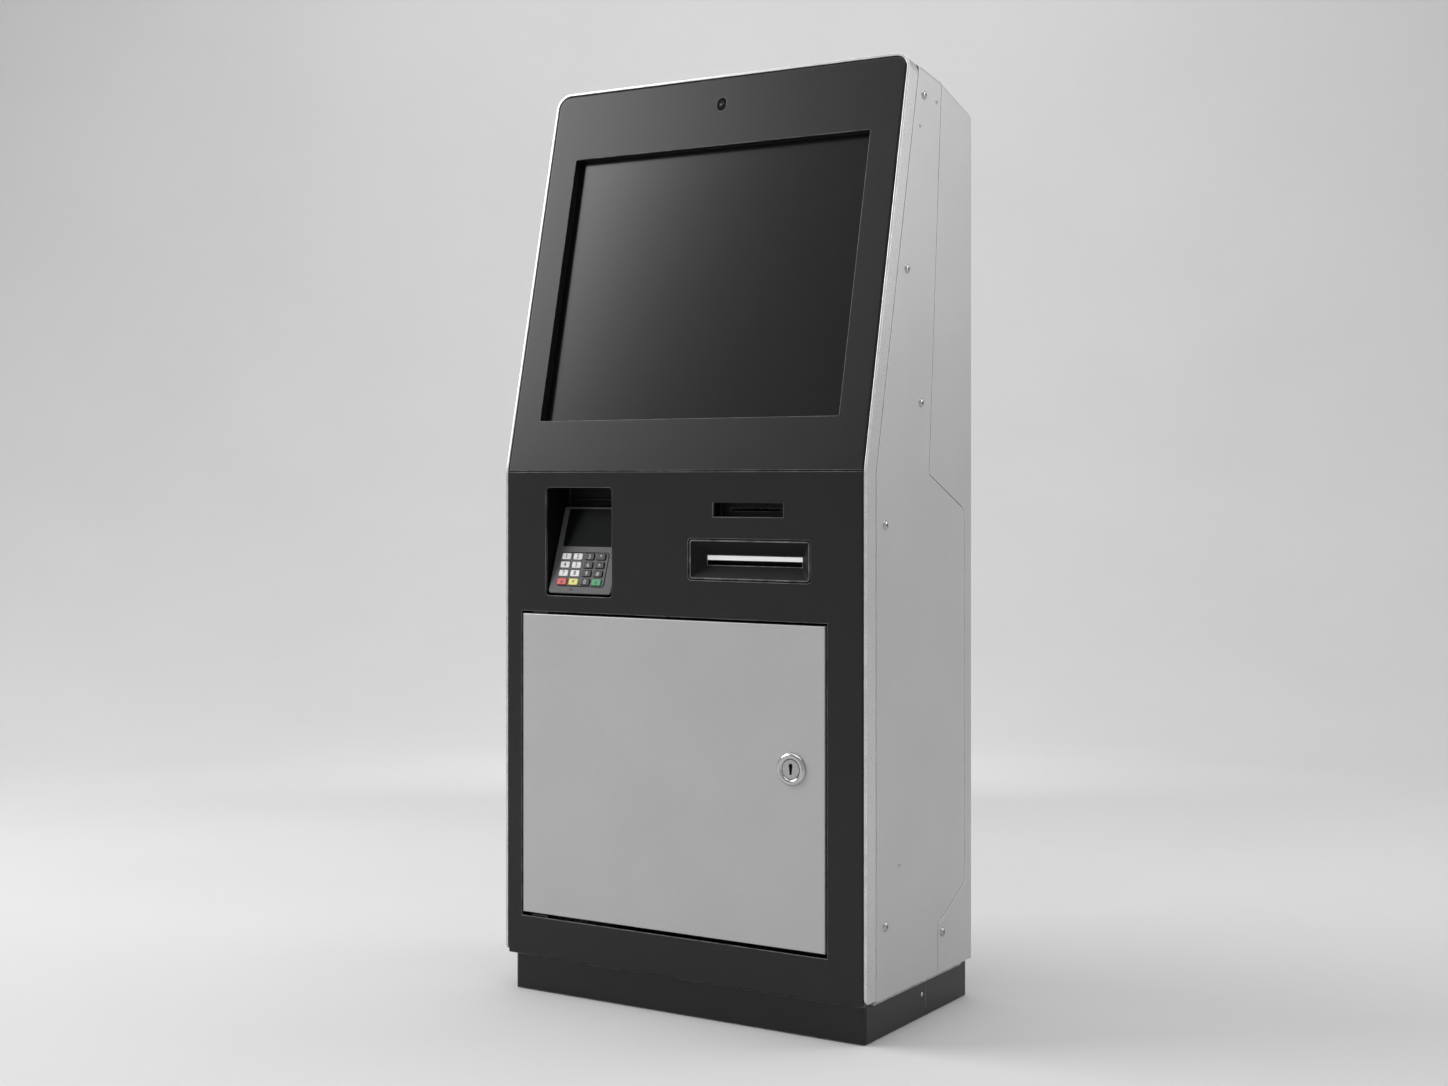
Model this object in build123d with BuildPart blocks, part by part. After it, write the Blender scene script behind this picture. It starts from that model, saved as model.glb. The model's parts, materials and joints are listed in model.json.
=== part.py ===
from build123d import *
from math import cos, radians, sin, tan
import os

os.makedirs("parts", exist_ok=True)

# Every length is in millimetres. X runs to the right, Y to the rear, Z up from the floor.
# The origin is on the floor at the middle of the body's footprint.

# Whole body
body_width = 612.0
body_depth = 335.0
knee_height = 776.0           # where the front starts to lean back
lean = 12.78                  # degrees that the upper front leans back
lean_length = 601.2           # knee to the surround's top edge, along the lean
seam = 1.4                    # open joint between outer panels
chassis_sheet = 2.0
shell_sheet = 2.0
fascia_sheet = 3.0

# Plinth and floor frame
plinth_side_inset = 9.0
plinth_width = body_width - 2 * plinth_side_inset
plinth_front_depth = 13.0     # plinth set back from the front
plinth_rear_inset = 2.7
plinth_seam_depth = 195.0     # front cover ends here
plinth_corner = 6.0
base_height = 55.0
base_plate = 4.0
base_wall = 2.5
base_flange = 8.0
anchor_inset_x = 66.0           # anchor bolts in from the body's sides
anchor_inset_y = 67.5
anchor_hole_r = 7.0

# Surround
band_sheet = 4.0
band_depth = 28.0
band_bottom = 59.0
band_corner = 24.0
band_foot_corner = 8.0        # front corner at the bottom of each leg
knee_bend = 70.0

# Side shell, roof and rear cover
shell_bottom = 57.0
shell_bend = 8.0
roof_step = 6.5               # roof below the surround's top edge
roof_front_fall = 10.3        # degrees
roof_rear_fall = 17.9
roof_break_depth = 229.5
rear_top_corner = 14.0
seam_low_depth = 217.0        # the rear cover's seam, from the bottom up
seam_low_height = 127.0
seam_mid_depth = body_depth - 28.0
seam_mid_height = 174.0
seam_high_height = knee_height - 57.0
seam_waist_depth = 189.0
seam_waist_height = knee_height - 5.0
seam_bend = 20.0

# Chassis
chassis_flange = 27.0
chassis_rear_depth = body_depth - 35.0
roof_room = 8.0

# Fascias
fascia_width = body_width - 2 * (band_sheet + seam)
fascia_bottom = 55.4
fascia_bend = 2.5
knee_gap = 0.8                # half of the joint at the knee
screen_width = fascia_width - 92.2
screen_height = lean_length - 188.6
screen_sill = 77.0            # knee to the screen's lower edge
screen_along = screen_sill + screen_height / 2
screen_recess = 13.5
screen_return = 2.0
screen_corner = 2.0
camera_along = lean_length - 46.8
camera_width = 15.4
camera_length = 20.7
camera_sink = 1.0             # window behind the fascia's face
camera_flange = 4.0
camera_block = 12.0

# Screen
glass_margin = 8.0
glass_thick = 4.0
panel_thick = 14.0
panel_margin = 5.0
bracket_sheet = 2.0

# PIN recess and payment terminal
recess_left = 75.2 - body_width / 2
recess_width = 119.3
recess_bottom = knee_height - 183.5
recess_height = 159.5
recess_corner = 5.5
recess_depth = 60.0
recess_sheet = 2.0
liner_flange = 10.0
terminal_width = 112.6
terminal_x = recess_left + 60.4
terminal_bottom = recess_bottom + 3.5
terminal_lean = 18.7
terminal_length = 134.0
terminal_corner = 5.0
terminal_edge = 1.2
display_x = terminal_x - 0.6
display_width = 86.0
display_length = 51.0
display_along = 99.5
display_thick = 2.0
display_sink = 0.4
keypad_x = terminal_x - 0.6
keypad_width = 85.4
keypad_length = 53.0
keypad_along = 37.4
keypad_corner = 5.0
keypad_groove = 1.2
keypad_thick = 4.0
keypad_stand = 0.6
key_columns = [-33.2, -12.4, 8.6, 29.0]
key_pitch_y = 12.9
key_width = 16.0
key_length = 9.4
key_corner = 1.6
key_gap = 0.5
key_stand = 1.6
key_travel = 1.0
key_skirt = 3.4

# Receipt slot, printer and paper
receipt_x = body_width / 2 - 186.5
receipt_z = knee_height - 54.5
receipt_width = 114.4
receipt_height = 20.0
receipt_depth = 22.0
receipt_sheet = 1.5
paper_width = 80.0
paper_slit = 4.0
roll_r = 35.0
roll_core_r = 6.1
spindle_r = 6.04
roll_depth = 150.0
roll_clearance = 6.0          # roll above the shelf
roll_arm_sheet = 3.0
roll_arm_foot = 4.0
printer_width = 96.0
printer_front = receipt_depth + 4.0
printer_rear = printer_front + 74.0
printer_height = 60.0
printer_corner = 4.0

# Banknote mouth
cash_x = body_width / 2 - 185.6
cash_z = knee_height - 124.7
note_width = 155.0
cash_width = note_width + 44.2
cash_height = 59.0
cash_corner = 5.0
cash_gap = 2.0
cash_rim = 1.6
cash_sink = 0.8
cash_body_depth = 40.0
funnel_depth = 17.0
note_mouth_low = cash_z - 8.3
note_mouth_high = cash_z - 1.7
light_bar_high = cash_z + 5.3
light_bar_depth = 6.0
shutter_thick = 1.5
shutter_overlap = 2.5
shutter_travel = 12.0
slide_gap = 0.4

# Dispenser, rollers and cassette
dispenser_side_x = cash_width / 2 + 4.4
dispenser_front = cash_body_depth + 6.0
dispenser_rear = body_depth - 49.0
dispenser_bottom = note_mouth_low - 63.0
dispenser_top = dispenser_bottom + 120.0
roller_depth = 72.0
roller_r = 14.0
roller_shaft_r = 4.0
roller_tyre_width = 14.0
roller_tyre_pitch = 48.0
roller_shaft_stand = 2.0      # shaft past the frame's sides
roller_nip = 0.8
running = 0.05
shelf_sheet = 3.0
lower_shelf_top = dispenser_bottom
upper_shelf_top = dispenser_top + 4.0
shelf_front = band_depth + 4.0
upper_shelf_front = recess_depth + 6.0
shelf_rear = chassis_rear_depth - 10.0
cassette_width = note_width + 15.0
cassette_front = 95.0
cassette_height = 130.0
cassette_wall = 3.0
cassette_rear = body_depth - 50.0
rail_sheet = 1.6
rail_lip = 10.0
cassette_handle = 10.0

# Doors, their pivots and locks
door_sheet = 2.5
door_flange = 20.0
door_edge = 1.6
door_left_gap = 2.0
door_right_gap = 3.7
door_top_gap = 3.9
door_bottom_gap = 5.6
pivot_inset = 30.0            # pivot in from the door's hinge edge
pivot_back = 8.0              # pivot behind the door's outer face
pivot_r = 4.0
pivot_plate = 2.5
pivot_width = 28.0
pivot_tab = 10.0
front_door_left = 32.8 - body_width / 2
front_door_width = body_width - 96.5
front_door_bottom = 119.5
front_door_height = knee_height - 331.1
front_lock_z = front_door_bottom + 247.5
rear_door_width = body_width - 152.0
rear_door_height = knee_height - 356.0
rear_door_bottom = 160.0
rear_lock_z = rear_door_bottom + rear_door_height / 2
lock_inset = 52.1             # lock in from the door's free edge
strike_depth = 20.0
strike_sheet = 2.0
lock_ring_r = 23.0
lock_stand = 5.0
lock_body_length = 19.0
lock_plug_r = 13.3
lock_plug_sink = 2.4
lock_body_r = lock_plug_r + 3.2
lock_nut = 3.0                # nut's flats past the body
keyhole_depth = 10.0
keyhole_r = 3.0
keyhole_low_r = 1.6
keyhole_length = 16.0
lock_hole_gap = 0.2
cam_length = 64.0
cam_width = 14.0
cam_thick = 3.0
cam_gap = 2.0

# Screws on the side: (depth from the front, height)
roof_height = knee_height + lean_length * cos(radians(lean))
dome_screws = [
    (120, knee_height + 281),
    (163.5, knee_height + 96),
    (172.6, roof_height - 55.3),
    (55.5, knee_height - 74.4),
    (55.2, 154.3),
    (seam_mid_depth - 75, 113.7),
]
small_screws = [(213, roof_height - 59.3), (161, roof_height - 100.3), (96.3, 232.3)]
plinth_screw = (184.2, 33.1)
dome_r = 6.8
small_screw_r = 3.2
screw_head = 3.0
small_screw_head = 1.2
screw_shank_r = 2.5
screw_hole_gap = 0.2

# Services at the rear
fan_size = 119.0
fan_depth = 25.0
fan_bore_r = 56.5
fan_hub_r = 20.0
fan_blade_r = 54.0
fan_blades = 7
fan_z = knee_height + lean_length / 2 + 3.4
fan_corner = 4.0
fan_strut_width = 5.0
fan_strut_thick = 3.0
fan_spindle_r = 3.0
fan_hub_floor = 2.0
fan_blade_thick = 1.6
fan_blade_turn = 40.0
vent_width = 92.0
vent_height = 4.0
vent_pitch = 11.0
vent_count = 9
bush_x = body_width / 2 - 116.0
bush_z = 105.0
bush_flange_r = 12.0
bush_body_r = 9.0
bush_bore_r = 4.5
bush_stand = 4.0
bush_inside = 14.0
bush_gap = 0.2
inlet_width = 80.0
inlet_top = bush_z + 30.0
inlet_lap = 8.0
inlet_sheet = 2.0

# Boxes on the upper shelf
box_rear_room = 50.0          # boxes end this far in from the back
controller_left = 41.0 - body_width / 2
controller_length = 150.0
controller_height = 190.0
power_gap = 25.0
power_width = 90.0
power_length = 110.0
power_height = 70.0
power_right = receipt_x - paper_width / 2 - 29.5

# Places worked out from the sizes above
front_y = -body_depth / 2
back_y = body_depth / 2
half_width = body_width / 2
lower_face = Plane(origin=(0, front_y, 0), x_dir=(1, 0, 0), z_dir=(0, -1, 0))
lean_normal = (0, -cos(radians(lean)), sin(radians(lean)))
upper_face = Plane(origin=(0, front_y, knee_height), x_dir=(1, 0, 0), z_dir=lean_normal)
rear_face = Plane(origin=(0, back_y, 0), x_dir=(-1, 0, 0), z_dir=(0, 1, 0))


def lean_point(along, behind):
    """(y, z) of a point on or behind the leaning front."""
    turn = radians(lean)
    y = front_y + along * sin(turn) + behind * cos(turn)
    return (y, knee_height + along * cos(turn) - behind * sin(turn))


def knee_point(behind):
    """(y, z) of the knee of a line that runs a fixed distance behind the front."""
    return (front_y + behind, knee_height - behind * tan(radians(lean / 2)))


roof_start = lean_point(lean_length - roof_step, band_depth + seam)
roof_break_y = front_y + roof_break_depth
roof_break_z = roof_start[1] - tan(radians(roof_front_fall)) * (roof_break_y - roof_start[0])
roof_break = (roof_break_y, roof_break_z)
roof_end = (back_y, roof_break_z - tan(radians(roof_rear_fall)) * (back_y - roof_break_y))
roof_over_front = roof_start[1] + tan(radians(roof_front_fall)) * (roof_start[0] - front_y)

# Surround: a strip bent round the front, down both sides and over the top
with BuildPart() as front_surround:
    with BuildSketch(upper_face) as surround_arch:
        with Locations((0, lean_length / 2 + knee_bend / 2)):
            Rectangle(body_width, lean_length - knee_bend)
        fillet(surround_arch.vertices().group_by(Axis.Y)[-1], band_corner)
        with BuildSketch(mode=Mode.PRIVATE) as arch_inside:
            with Locations((0, lean_length / 2 - band_sheet)):
                Rectangle(body_width - 2 * band_sheet, lean_length)
            fillet(arch_inside.vertices().group_by(Axis.Y)[-1], band_corner - band_sheet)
        add(arch_inside.sketch, mode=Mode.SUBTRACT)
    extrude(amount=-band_depth)
    with BuildSketch(Plane.YZ.offset(half_width - band_sheet)):
        with BuildLine():
            leg_front = FilletPolyline(
                (front_y, band_bottom),
                (front_y, knee_height),
                lean_point(lean_length / 3, 0),
                radius=knee_bend,
            )
            leg_rear = FilletPolyline(
                (front_y + band_depth, band_bottom),
                knee_point(band_depth),
                lean_point(lean_length / 3, band_depth),
                radius=knee_bend - band_depth,
            )
            Line(leg_front @ 0, leg_rear @ 0)
            Line(leg_front @ 1, leg_rear @ 1)
        make_face()
    leg = extrude(amount=band_sheet)
    foot_corner = leg.edges().filter_by(Axis.X).sort_by_distance((half_width, front_y, band_bottom))[0]
    fillet(foot_corner, band_foot_corner)
    mirror(about=Plane.YZ)
front_surround.part.label = "front_surround"
export_step(front_surround.part, "parts/front_surround.step")

# Side outline of the shell, and the same outline one sheet further in, both drawn as (y, z)
with BuildSketch() as shell_outline:
    with BuildLine():
        Polyline(
            (front_y + band_depth + seam, shell_bottom),
            knee_point(band_depth + seam),
            roof_start,
            roof_break,
            roof_end,
            (back_y, shell_bottom),
            close=True,
        )
    make_face()
    fillet(shell_outline.vertices().sort_by_distance((*roof_end, 0))[0], rear_top_corner)
    knee_corner = shell_outline.vertices().sort_by_distance((*knee_point(band_depth + seam), 0))[0]
    fillet(knee_corner, knee_bend - band_depth)

with BuildSketch() as hollow_outline:
    with BuildLine():
        Polyline(
            (front_y, 0),
            (front_y, roof_over_front - shell_sheet),
            (roof_break_y, roof_break_z - shell_sheet),
            (back_y - shell_sheet, roof_end[1] + shell_sheet * (tan(radians(roof_rear_fall)) - 1)),
            (back_y - shell_sheet, 0),
            close=True,
        )
    make_face()
    hollow_corner = hollow_outline.vertices().sort_by_distance((*roof_end, 0))[0]
    fillet(hollow_corner, rear_top_corner - shell_sheet)

# Region in front of the rear cover's seam, drawn as (y, z)
seam_slope = (roof_break_depth - seam_waist_depth) / (roof_break_z - seam_waist_height)
above_roof = roof_over_front + 50
with BuildSketch() as seam_region:
    with BuildLine():
        Polyline(
            (front_y - 50, 0),
            (front_y + seam_low_depth, 0),
            (front_y + seam_low_depth, seam_low_height),
            (front_y + seam_mid_depth, seam_mid_height),
            (front_y + seam_mid_depth, seam_high_height),
            (front_y + seam_waist_depth, seam_waist_height),
            (roof_break_y + seam_slope * (above_roof - roof_break_z), above_roof),
            (front_y - 50, above_roof),
            close=True,
        )
    make_face()
    high_corner = (front_y + seam_mid_depth, seam_high_height, 0)
    fillet(seam_region.vertices().sort_by_distance(high_corner)[0], seam_bend)

# Whole folded skin, later parted at the seam
with BuildPart() as skin:
    with BuildSketch(Plane.YZ.offset(-half_width)):
        add(shell_outline.sketch)
    extrude(amount=body_width)
    roof_edges = skin.edges().filter_by(lambda e: abs(abs(e.center().X) - half_width) < 0.01)
    bent_edges = roof_edges.filter_by(
        lambda e: e.center().Y > back_y - 1 or e.center().Z > roof_end[1] - rear_top_corner
    )
    bent_edges = bent_edges.filter_by(lambda e: e.center().Y > roof_start[0])
    fillet(bent_edges, shell_bend)
with BuildPart() as skin_hollow:
    with BuildSketch(Plane.YZ.offset(shell_sheet - half_width)):
        add(hollow_outline.sketch)
    extrude(amount=body_width - 2 * shell_sheet)
    inner_edges = skin_hollow.edges().filter_by(lambda e: abs(e.center().X) > half_width - shell_sheet - 0.01)
    bent_edges = inner_edges.filter_by(
        lambda e: e.center().Y > back_y - shell_sheet - 1 or e.center().Z > roof_end[1] - rear_top_corner
    )
    bent_edges = bent_edges.filter_by(lambda e: e.center().Y > front_y + 1)
    fillet(bent_edges, shell_bend - shell_sheet)


def screw_places(spots):
    """(y, z) of screws given as (depth from the front, height)."""
    return [(front_y + depth, height) for depth, height in spots]


with BuildPart() as outer_shell:
    add(skin.part)
    add(skin_hollow.part, mode=Mode.SUBTRACT)
    with BuildSketch(Plane.YZ.offset(-body_width)):
        add(seam_region.sketch)
    extrude(amount=2 * body_width, mode=Mode.INTERSECT)
    with BuildSketch(Plane.YZ.offset(-body_width)):
        with Locations(*screw_places(dome_screws + small_screws)):
            Circle(screw_shank_r + screw_hole_gap)
    extrude(amount=2 * body_width, mode=Mode.SUBTRACT)
outer_shell.part.label = "outer_shell"
export_step(outer_shell.part, "parts/outer_shell.step")

# Rear cover, with the service door's opening, the fan's slots and the mains cable's hole
rear_door_left = -rear_door_width / 2
rear_door_right = rear_door_width / 2
with BuildPart() as rear_cover:
    add(skin.part)
    add(skin_hollow.part, mode=Mode.SUBTRACT)
    with BuildSketch(Plane.YZ.offset(-body_width)):
        with Locations(((front_y + back_y) / 2, above_roof / 2)):
            Rectangle(3 * body_depth, above_roof + 100)
        with BuildSketch(mode=Mode.PRIVATE) as front_region:
            add(seam_region.sketch)
            offset(amount=seam, kind=Kind.INTERSECTION)
        add(front_region.sketch, mode=Mode.SUBTRACT)
    extrude(amount=2 * body_width, mode=Mode.INTERSECT)
    with BuildSketch(Plane.YZ.offset(-body_width)):
        with Locations(*screw_places(dome_screws + small_screws)):
            Circle(screw_shank_r + screw_hole_gap)
    extrude(amount=2 * body_width, mode=Mode.SUBTRACT)
    with BuildSketch(rear_face):
        opening_bottom = rear_door_bottom - door_bottom_gap
        opening_height = rear_door_height + door_bottom_gap + door_top_gap
        opening_x = (door_right_gap - door_left_gap) / 2
        with Locations((opening_x, opening_bottom + opening_height / 2)):
            Rectangle(rear_door_width + door_left_gap + door_right_gap, opening_height)
        with Locations((0, fan_z)):
            with GridLocations(1, vent_pitch, 1, vent_count):
                SlotOverall(vent_width, vent_height)
        with Locations((bush_x, inlet_top / 2)):
            Rectangle(inlet_width, inlet_top)
    extrude(amount=-shell_sheet, mode=Mode.SUBTRACT)
    with BuildSketch(rear_face.offset(-shell_sheet)):
        strike_x = rear_door_right + door_right_gap + strike_sheet / 2
        with Locations((strike_x, opening_bottom + opening_height / 2)):
            Rectangle(strike_sheet, opening_height)
    extrude(amount=shell_sheet - strike_depth)
rear_cover.part.label = "rear_cover"
export_step(rear_cover.part, "parts/rear_cover.step")

# Inlet plate: closes the notch in the rear cover's bottom edge and carries the cable bush
inlet_face = rear_face.offset(-shell_sheet)
with BuildPart() as inlet_plate:
    with BuildSketch(inlet_face):
        with Locations((bush_x, (inlet_top + inlet_lap + shell_bottom + seam) / 2)):
            Rectangle(inlet_width + 2 * inlet_lap, inlet_top + inlet_lap - shell_bottom - seam)
        with Locations((bush_x, bush_z)):
            Circle(bush_body_r + bush_gap, mode=Mode.SUBTRACT)
    extrude(amount=-inlet_sheet)
inlet_plate.part.label = "inlet_plate"
export_step(inlet_plate.part, "parts/inlet_plate.step")

# Floor frame: a tray that stands on the floor, with four anchor holes and side flanges for the chassis
base_width = plinth_width - 2 * shell_sheet
base_front_y = front_y + plinth_front_depth + shell_sheet
base_rear_y = back_y - plinth_rear_inset - shell_sheet
base_length = base_rear_y - base_front_y
base_middle_y = (base_front_y + base_rear_y) / 2
chassis_front_y = front_y + band_depth
chassis_rear_y = front_y + chassis_rear_depth
chassis_length = chassis_rear_y - chassis_front_y
with BuildPart() as base_frame:
    with BuildSketch():
        with Locations((0, base_middle_y)):
            Rectangle(base_width, base_length)
    extrude(amount=base_height)
    with BuildSketch(Plane.XY.offset(base_plate)):
        with Locations((0, base_middle_y)):
            Rectangle(base_width - 2 * base_wall, base_length - 2 * base_wall)
    extrude(amount=base_height, mode=Mode.SUBTRACT)
    with BuildSketch(Plane.XY.offset(base_height - base_wall)):
        for side in (-1, 1):
            flange_x = side * (base_width / 2 + base_flange / 2)
            with Locations((flange_x, (chassis_front_y + chassis_rear_y) / 2)):
                Rectangle(base_flange, chassis_length)
    extrude(amount=base_wall)
    with BuildSketch():
        with GridLocations(body_width - 2 * anchor_inset_x, body_depth - 2 * anchor_inset_y, 2, 2):
            Circle(anchor_hole_r)
    extrude(amount=base_plate, mode=Mode.SUBTRACT)
    with BuildSketch(Plane.YZ.offset(-base_width / 2)):
        with Locations(*screw_places([plinth_screw])):
            Circle(screw_shank_r + screw_hole_gap)
    extrude(amount=base_width, mode=Mode.SUBTRACT)
base_frame.part.label = "base_frame"
export_step(base_frame.part, "parts/base_frame.step")

# Plinth: two folded covers round the floor frame
plinth_top = base_height - base_wall - 0.5
plinth_front_y = front_y + plinth_front_depth
plinth_rear_y = back_y - plinth_rear_inset
plinth_seam_y = front_y + plinth_seam_depth
for name, near_y, far_y in (
    ("plinth_front", plinth_front_y, plinth_seam_y),
    ("plinth_rear", plinth_seam_y + seam, plinth_rear_y),
):
    with BuildPart() as plinth_cover:
        with BuildSketch(Plane.XY.offset(1)) as plinth_ring:
            with Locations((0, (plinth_front_y + plinth_rear_y) / 2)):
                Rectangle(plinth_width, plinth_rear_y - plinth_front_y)
            fillet(plinth_ring.vertices(), plinth_corner)
            with Locations((0, base_middle_y)):
                Rectangle(base_width, base_length, mode=Mode.SUBTRACT)
            with Locations((0, (near_y + far_y) / 2)):
                Rectangle(2 * plinth_width, far_y - near_y, mode=Mode.INTERSECT)
        extrude(amount=plinth_top - 1)
        with BuildSketch(Plane.YZ.offset(-plinth_width)):
            with Locations(*screw_places([plinth_screw])):
                Circle(screw_shank_r + screw_hole_gap)
        extrude(amount=2 * plinth_width, mode=Mode.SUBTRACT)
    plinth_cover.part.label = name
    export_step(plinth_cover.part, f"parts/{name}.step")

# Chassis walls: folded trays that follow the lean, flanges turned inwards
shell_inside = half_width - shell_sheet
with BuildSketch() as chassis_outline:
    with BuildLine():
        Polyline(
            (chassis_front_y, base_height),
            knee_point(band_depth),
            lean_point(lean_length - 3 * roof_room, band_depth),
            (roof_break_y, roof_break_z - shell_sheet - roof_room),
            (chassis_rear_y, roof_end[1] - shell_sheet),
            (chassis_rear_y, base_height),
            close=True,
        )
    make_face()
    knee_corner = chassis_outline.vertices().sort_by_distance((*knee_point(band_depth), 0))[0]
    fillet(knee_corner, knee_bend - band_depth)
for side, name in ((-1, "chassis_left"), (1, "chassis_right")):
    with BuildPart() as chassis_wall:
        with BuildSketch(Plane.YZ.offset(side * shell_inside)):
            add(chassis_outline.sketch)
        extrude(amount=-side * chassis_flange)
        with BuildSketch(Plane.YZ.offset(side * (shell_inside - chassis_sheet))):
            with BuildSketch(mode=Mode.PRIVATE) as tray_inside:
                add(chassis_outline.sketch)
                offset(amount=-chassis_sheet, kind=Kind.INTERSECTION)
            add(tray_inside.sketch)
        extrude(amount=-side * chassis_flange, mode=Mode.SUBTRACT)
        with BuildSketch(Plane.YZ.offset(side * body_width)):
            with Locations(*screw_places(dome_screws + small_screws)):
                Circle(screw_shank_r + screw_hole_gap)
        extrude(amount=-side * body_width, mode=Mode.SUBTRACT)
    chassis_wall.part.label = name
    export_step(chassis_wall.part, f"parts/{name}.step")

# Screws through the skin into the chassis, and through the plinth into the floor frame
with BuildPart() as body_screws:
    for side in (-1, 1):
        wall = Plane(origin=(side * half_width, 0, 0), x_dir=(0, side, 0), z_dir=(side, 0, 0))
        plinth_wall = wall.offset(plinth_width / 2 - half_width)
        heads = [
            (wall, screw_places(dome_screws), dome_r, screw_head),
            (wall, screw_places(small_screws), small_screw_r, small_screw_head),
            (plinth_wall, screw_places([plinth_screw]), small_screw_r, small_screw_head),
        ]
        for face, places, head_r, head_height in heads:
            spots = [(side * y, z) for y, z in places]
            with BuildSketch(face.offset(-2 * shell_sheet)):
                with Locations(*spots):
                    Circle(screw_shank_r)
            extrude(amount=2 * shell_sheet)
            with BuildSketch(face):
                with Locations(*spots):
                    Circle(head_r)
            head = extrude(amount=head_height)
            middle_x = abs(face.offset(head_height / 2).origin.X)
            rims = head.edges().filter_by(lambda e: abs(e.center().X) > middle_x)
            fillet(rims, head_height * 0.85)
body_screws.part.label = "body_screws"
export_step(body_screws.part, "parts/body_screws.step")

# Shelves between the chassis walls. The lower one hangs the cassette's rails.
shelf_width = 2 * (shell_inside - chassis_sheet)
rail_top = lower_shelf_top - shelf_sheet
cassette_top = rail_top - shelf_sheet
cassette_bottom = cassette_top - cassette_height
cassette_middle_y = front_y + (cassette_front + cassette_rear) / 2
cassette_length = cassette_rear - cassette_front
with BuildPart() as lower_shelf:
    shelf_middle_y = front_y + (shelf_front + shelf_rear) / 2
    with BuildSketch(Plane.XY.offset(rail_top)):
        with Locations((0, shelf_middle_y)):
            Rectangle(shelf_width, shelf_rear - shelf_front)
        with Locations((cash_x, cassette_middle_y)):
            Rectangle(cassette_width - 2 * rail_lip, cassette_length / 2, mode=Mode.SUBTRACT)
    extrude(amount=shelf_sheet)
    rail_offset = cassette_width / 2 + slide_gap
    with BuildSketch(Plane.XY.offset(rail_top)):
        for side in (-1, 1):
            with Locations((cash_x + side * (rail_offset + rail_sheet / 2), cassette_middle_y)):
                Rectangle(rail_sheet, cassette_length)
    extrude(amount=cassette_bottom - slide_gap - rail_sheet - rail_top)
    with BuildSketch(Plane.XY.offset(cassette_bottom - slide_gap)):
        for side in (-1, 1):
            with Locations((cash_x + side * (rail_offset - rail_lip / 2), cassette_middle_y)):
                Rectangle(rail_lip, cassette_length)
    extrude(amount=-rail_sheet)
lower_shelf.part.label = "lower_shelf"
export_step(lower_shelf.part, "parts/lower_shelf.step")

with BuildPart() as upper_shelf:
    with BuildSketch(Plane.XY.offset(upper_shelf_top - shelf_sheet)):
        with Locations((0, front_y + (upper_shelf_front + shelf_rear) / 2)):
            Rectangle(shelf_width, shelf_rear - upper_shelf_front)
    extrude(amount=shelf_sheet)
upper_shelf.part.label = "upper_shelf"
export_step(upper_shelf.part, "parts/upper_shelf.step")

# Lower fascia: folded steel with openings for the door, the PIN recess, the receipt and the banknotes
door_opening_left = front_door_left - door_left_gap
door_opening_width = front_door_width + door_left_gap + door_right_gap
door_opening_bottom = front_door_bottom - door_bottom_gap
door_opening_height = front_door_height + door_bottom_gap + door_top_gap
fascia_top = knee_height - knee_gap
recess_x = recess_left + recess_width / 2
recess_z = recess_bottom + recess_height / 2
with BuildPart() as lower_fascia:
    with BuildSketch(lower_face):
        with Locations((0, (fascia_bottom + fascia_top) / 2)):
            Rectangle(fascia_width, fascia_top - fascia_bottom)
    extrude(amount=-band_depth)
    front_edges = lower_fascia.faces().sort_by(Axis.Y)[0].edges().sort_by(Axis.Z)[:-1]
    fillet(front_edges, fascia_bend)
    with BuildSketch(lower_face.offset(-fascia_sheet)):
        with Locations((0, (fascia_bottom + fascia_sheet + knee_height) / 2)):
            Rectangle(fascia_width - 2 * fascia_sheet, knee_height - fascia_bottom - fascia_sheet)
        with Locations((0, knee_height)):
            Rectangle(body_width, band_depth)
    extrude(amount=-band_depth, mode=Mode.SUBTRACT)
    with BuildSketch(lower_face):
        with Locations(
            (door_opening_left + door_opening_width / 2, door_opening_bottom + door_opening_height / 2)
        ):
            Rectangle(door_opening_width, door_opening_height)
        with Locations((recess_x, recess_z)):
            RectangleRounded(recess_width, recess_height, recess_corner)
        with Locations((receipt_x, receipt_z)):
            Rectangle(receipt_width, receipt_height)
        with Locations((cash_x, cash_z)):
            RectangleRounded(cash_width, cash_height, cash_corner)
    extrude(amount=-fascia_sheet, mode=Mode.SUBTRACT)
    with BuildSketch(lower_face.offset(-fascia_sheet)):
        with Locations(
            (
                door_opening_left + door_opening_width + strike_sheet / 2,
                door_opening_bottom + door_opening_height / 2,
            )
        ):
            Rectangle(strike_sheet, door_opening_height)
    extrude(amount=fascia_sheet - strike_depth)
lower_fascia.part.label = "lower_fascia"
export_step(lower_fascia.part, "parts/lower_fascia.step")

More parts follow.
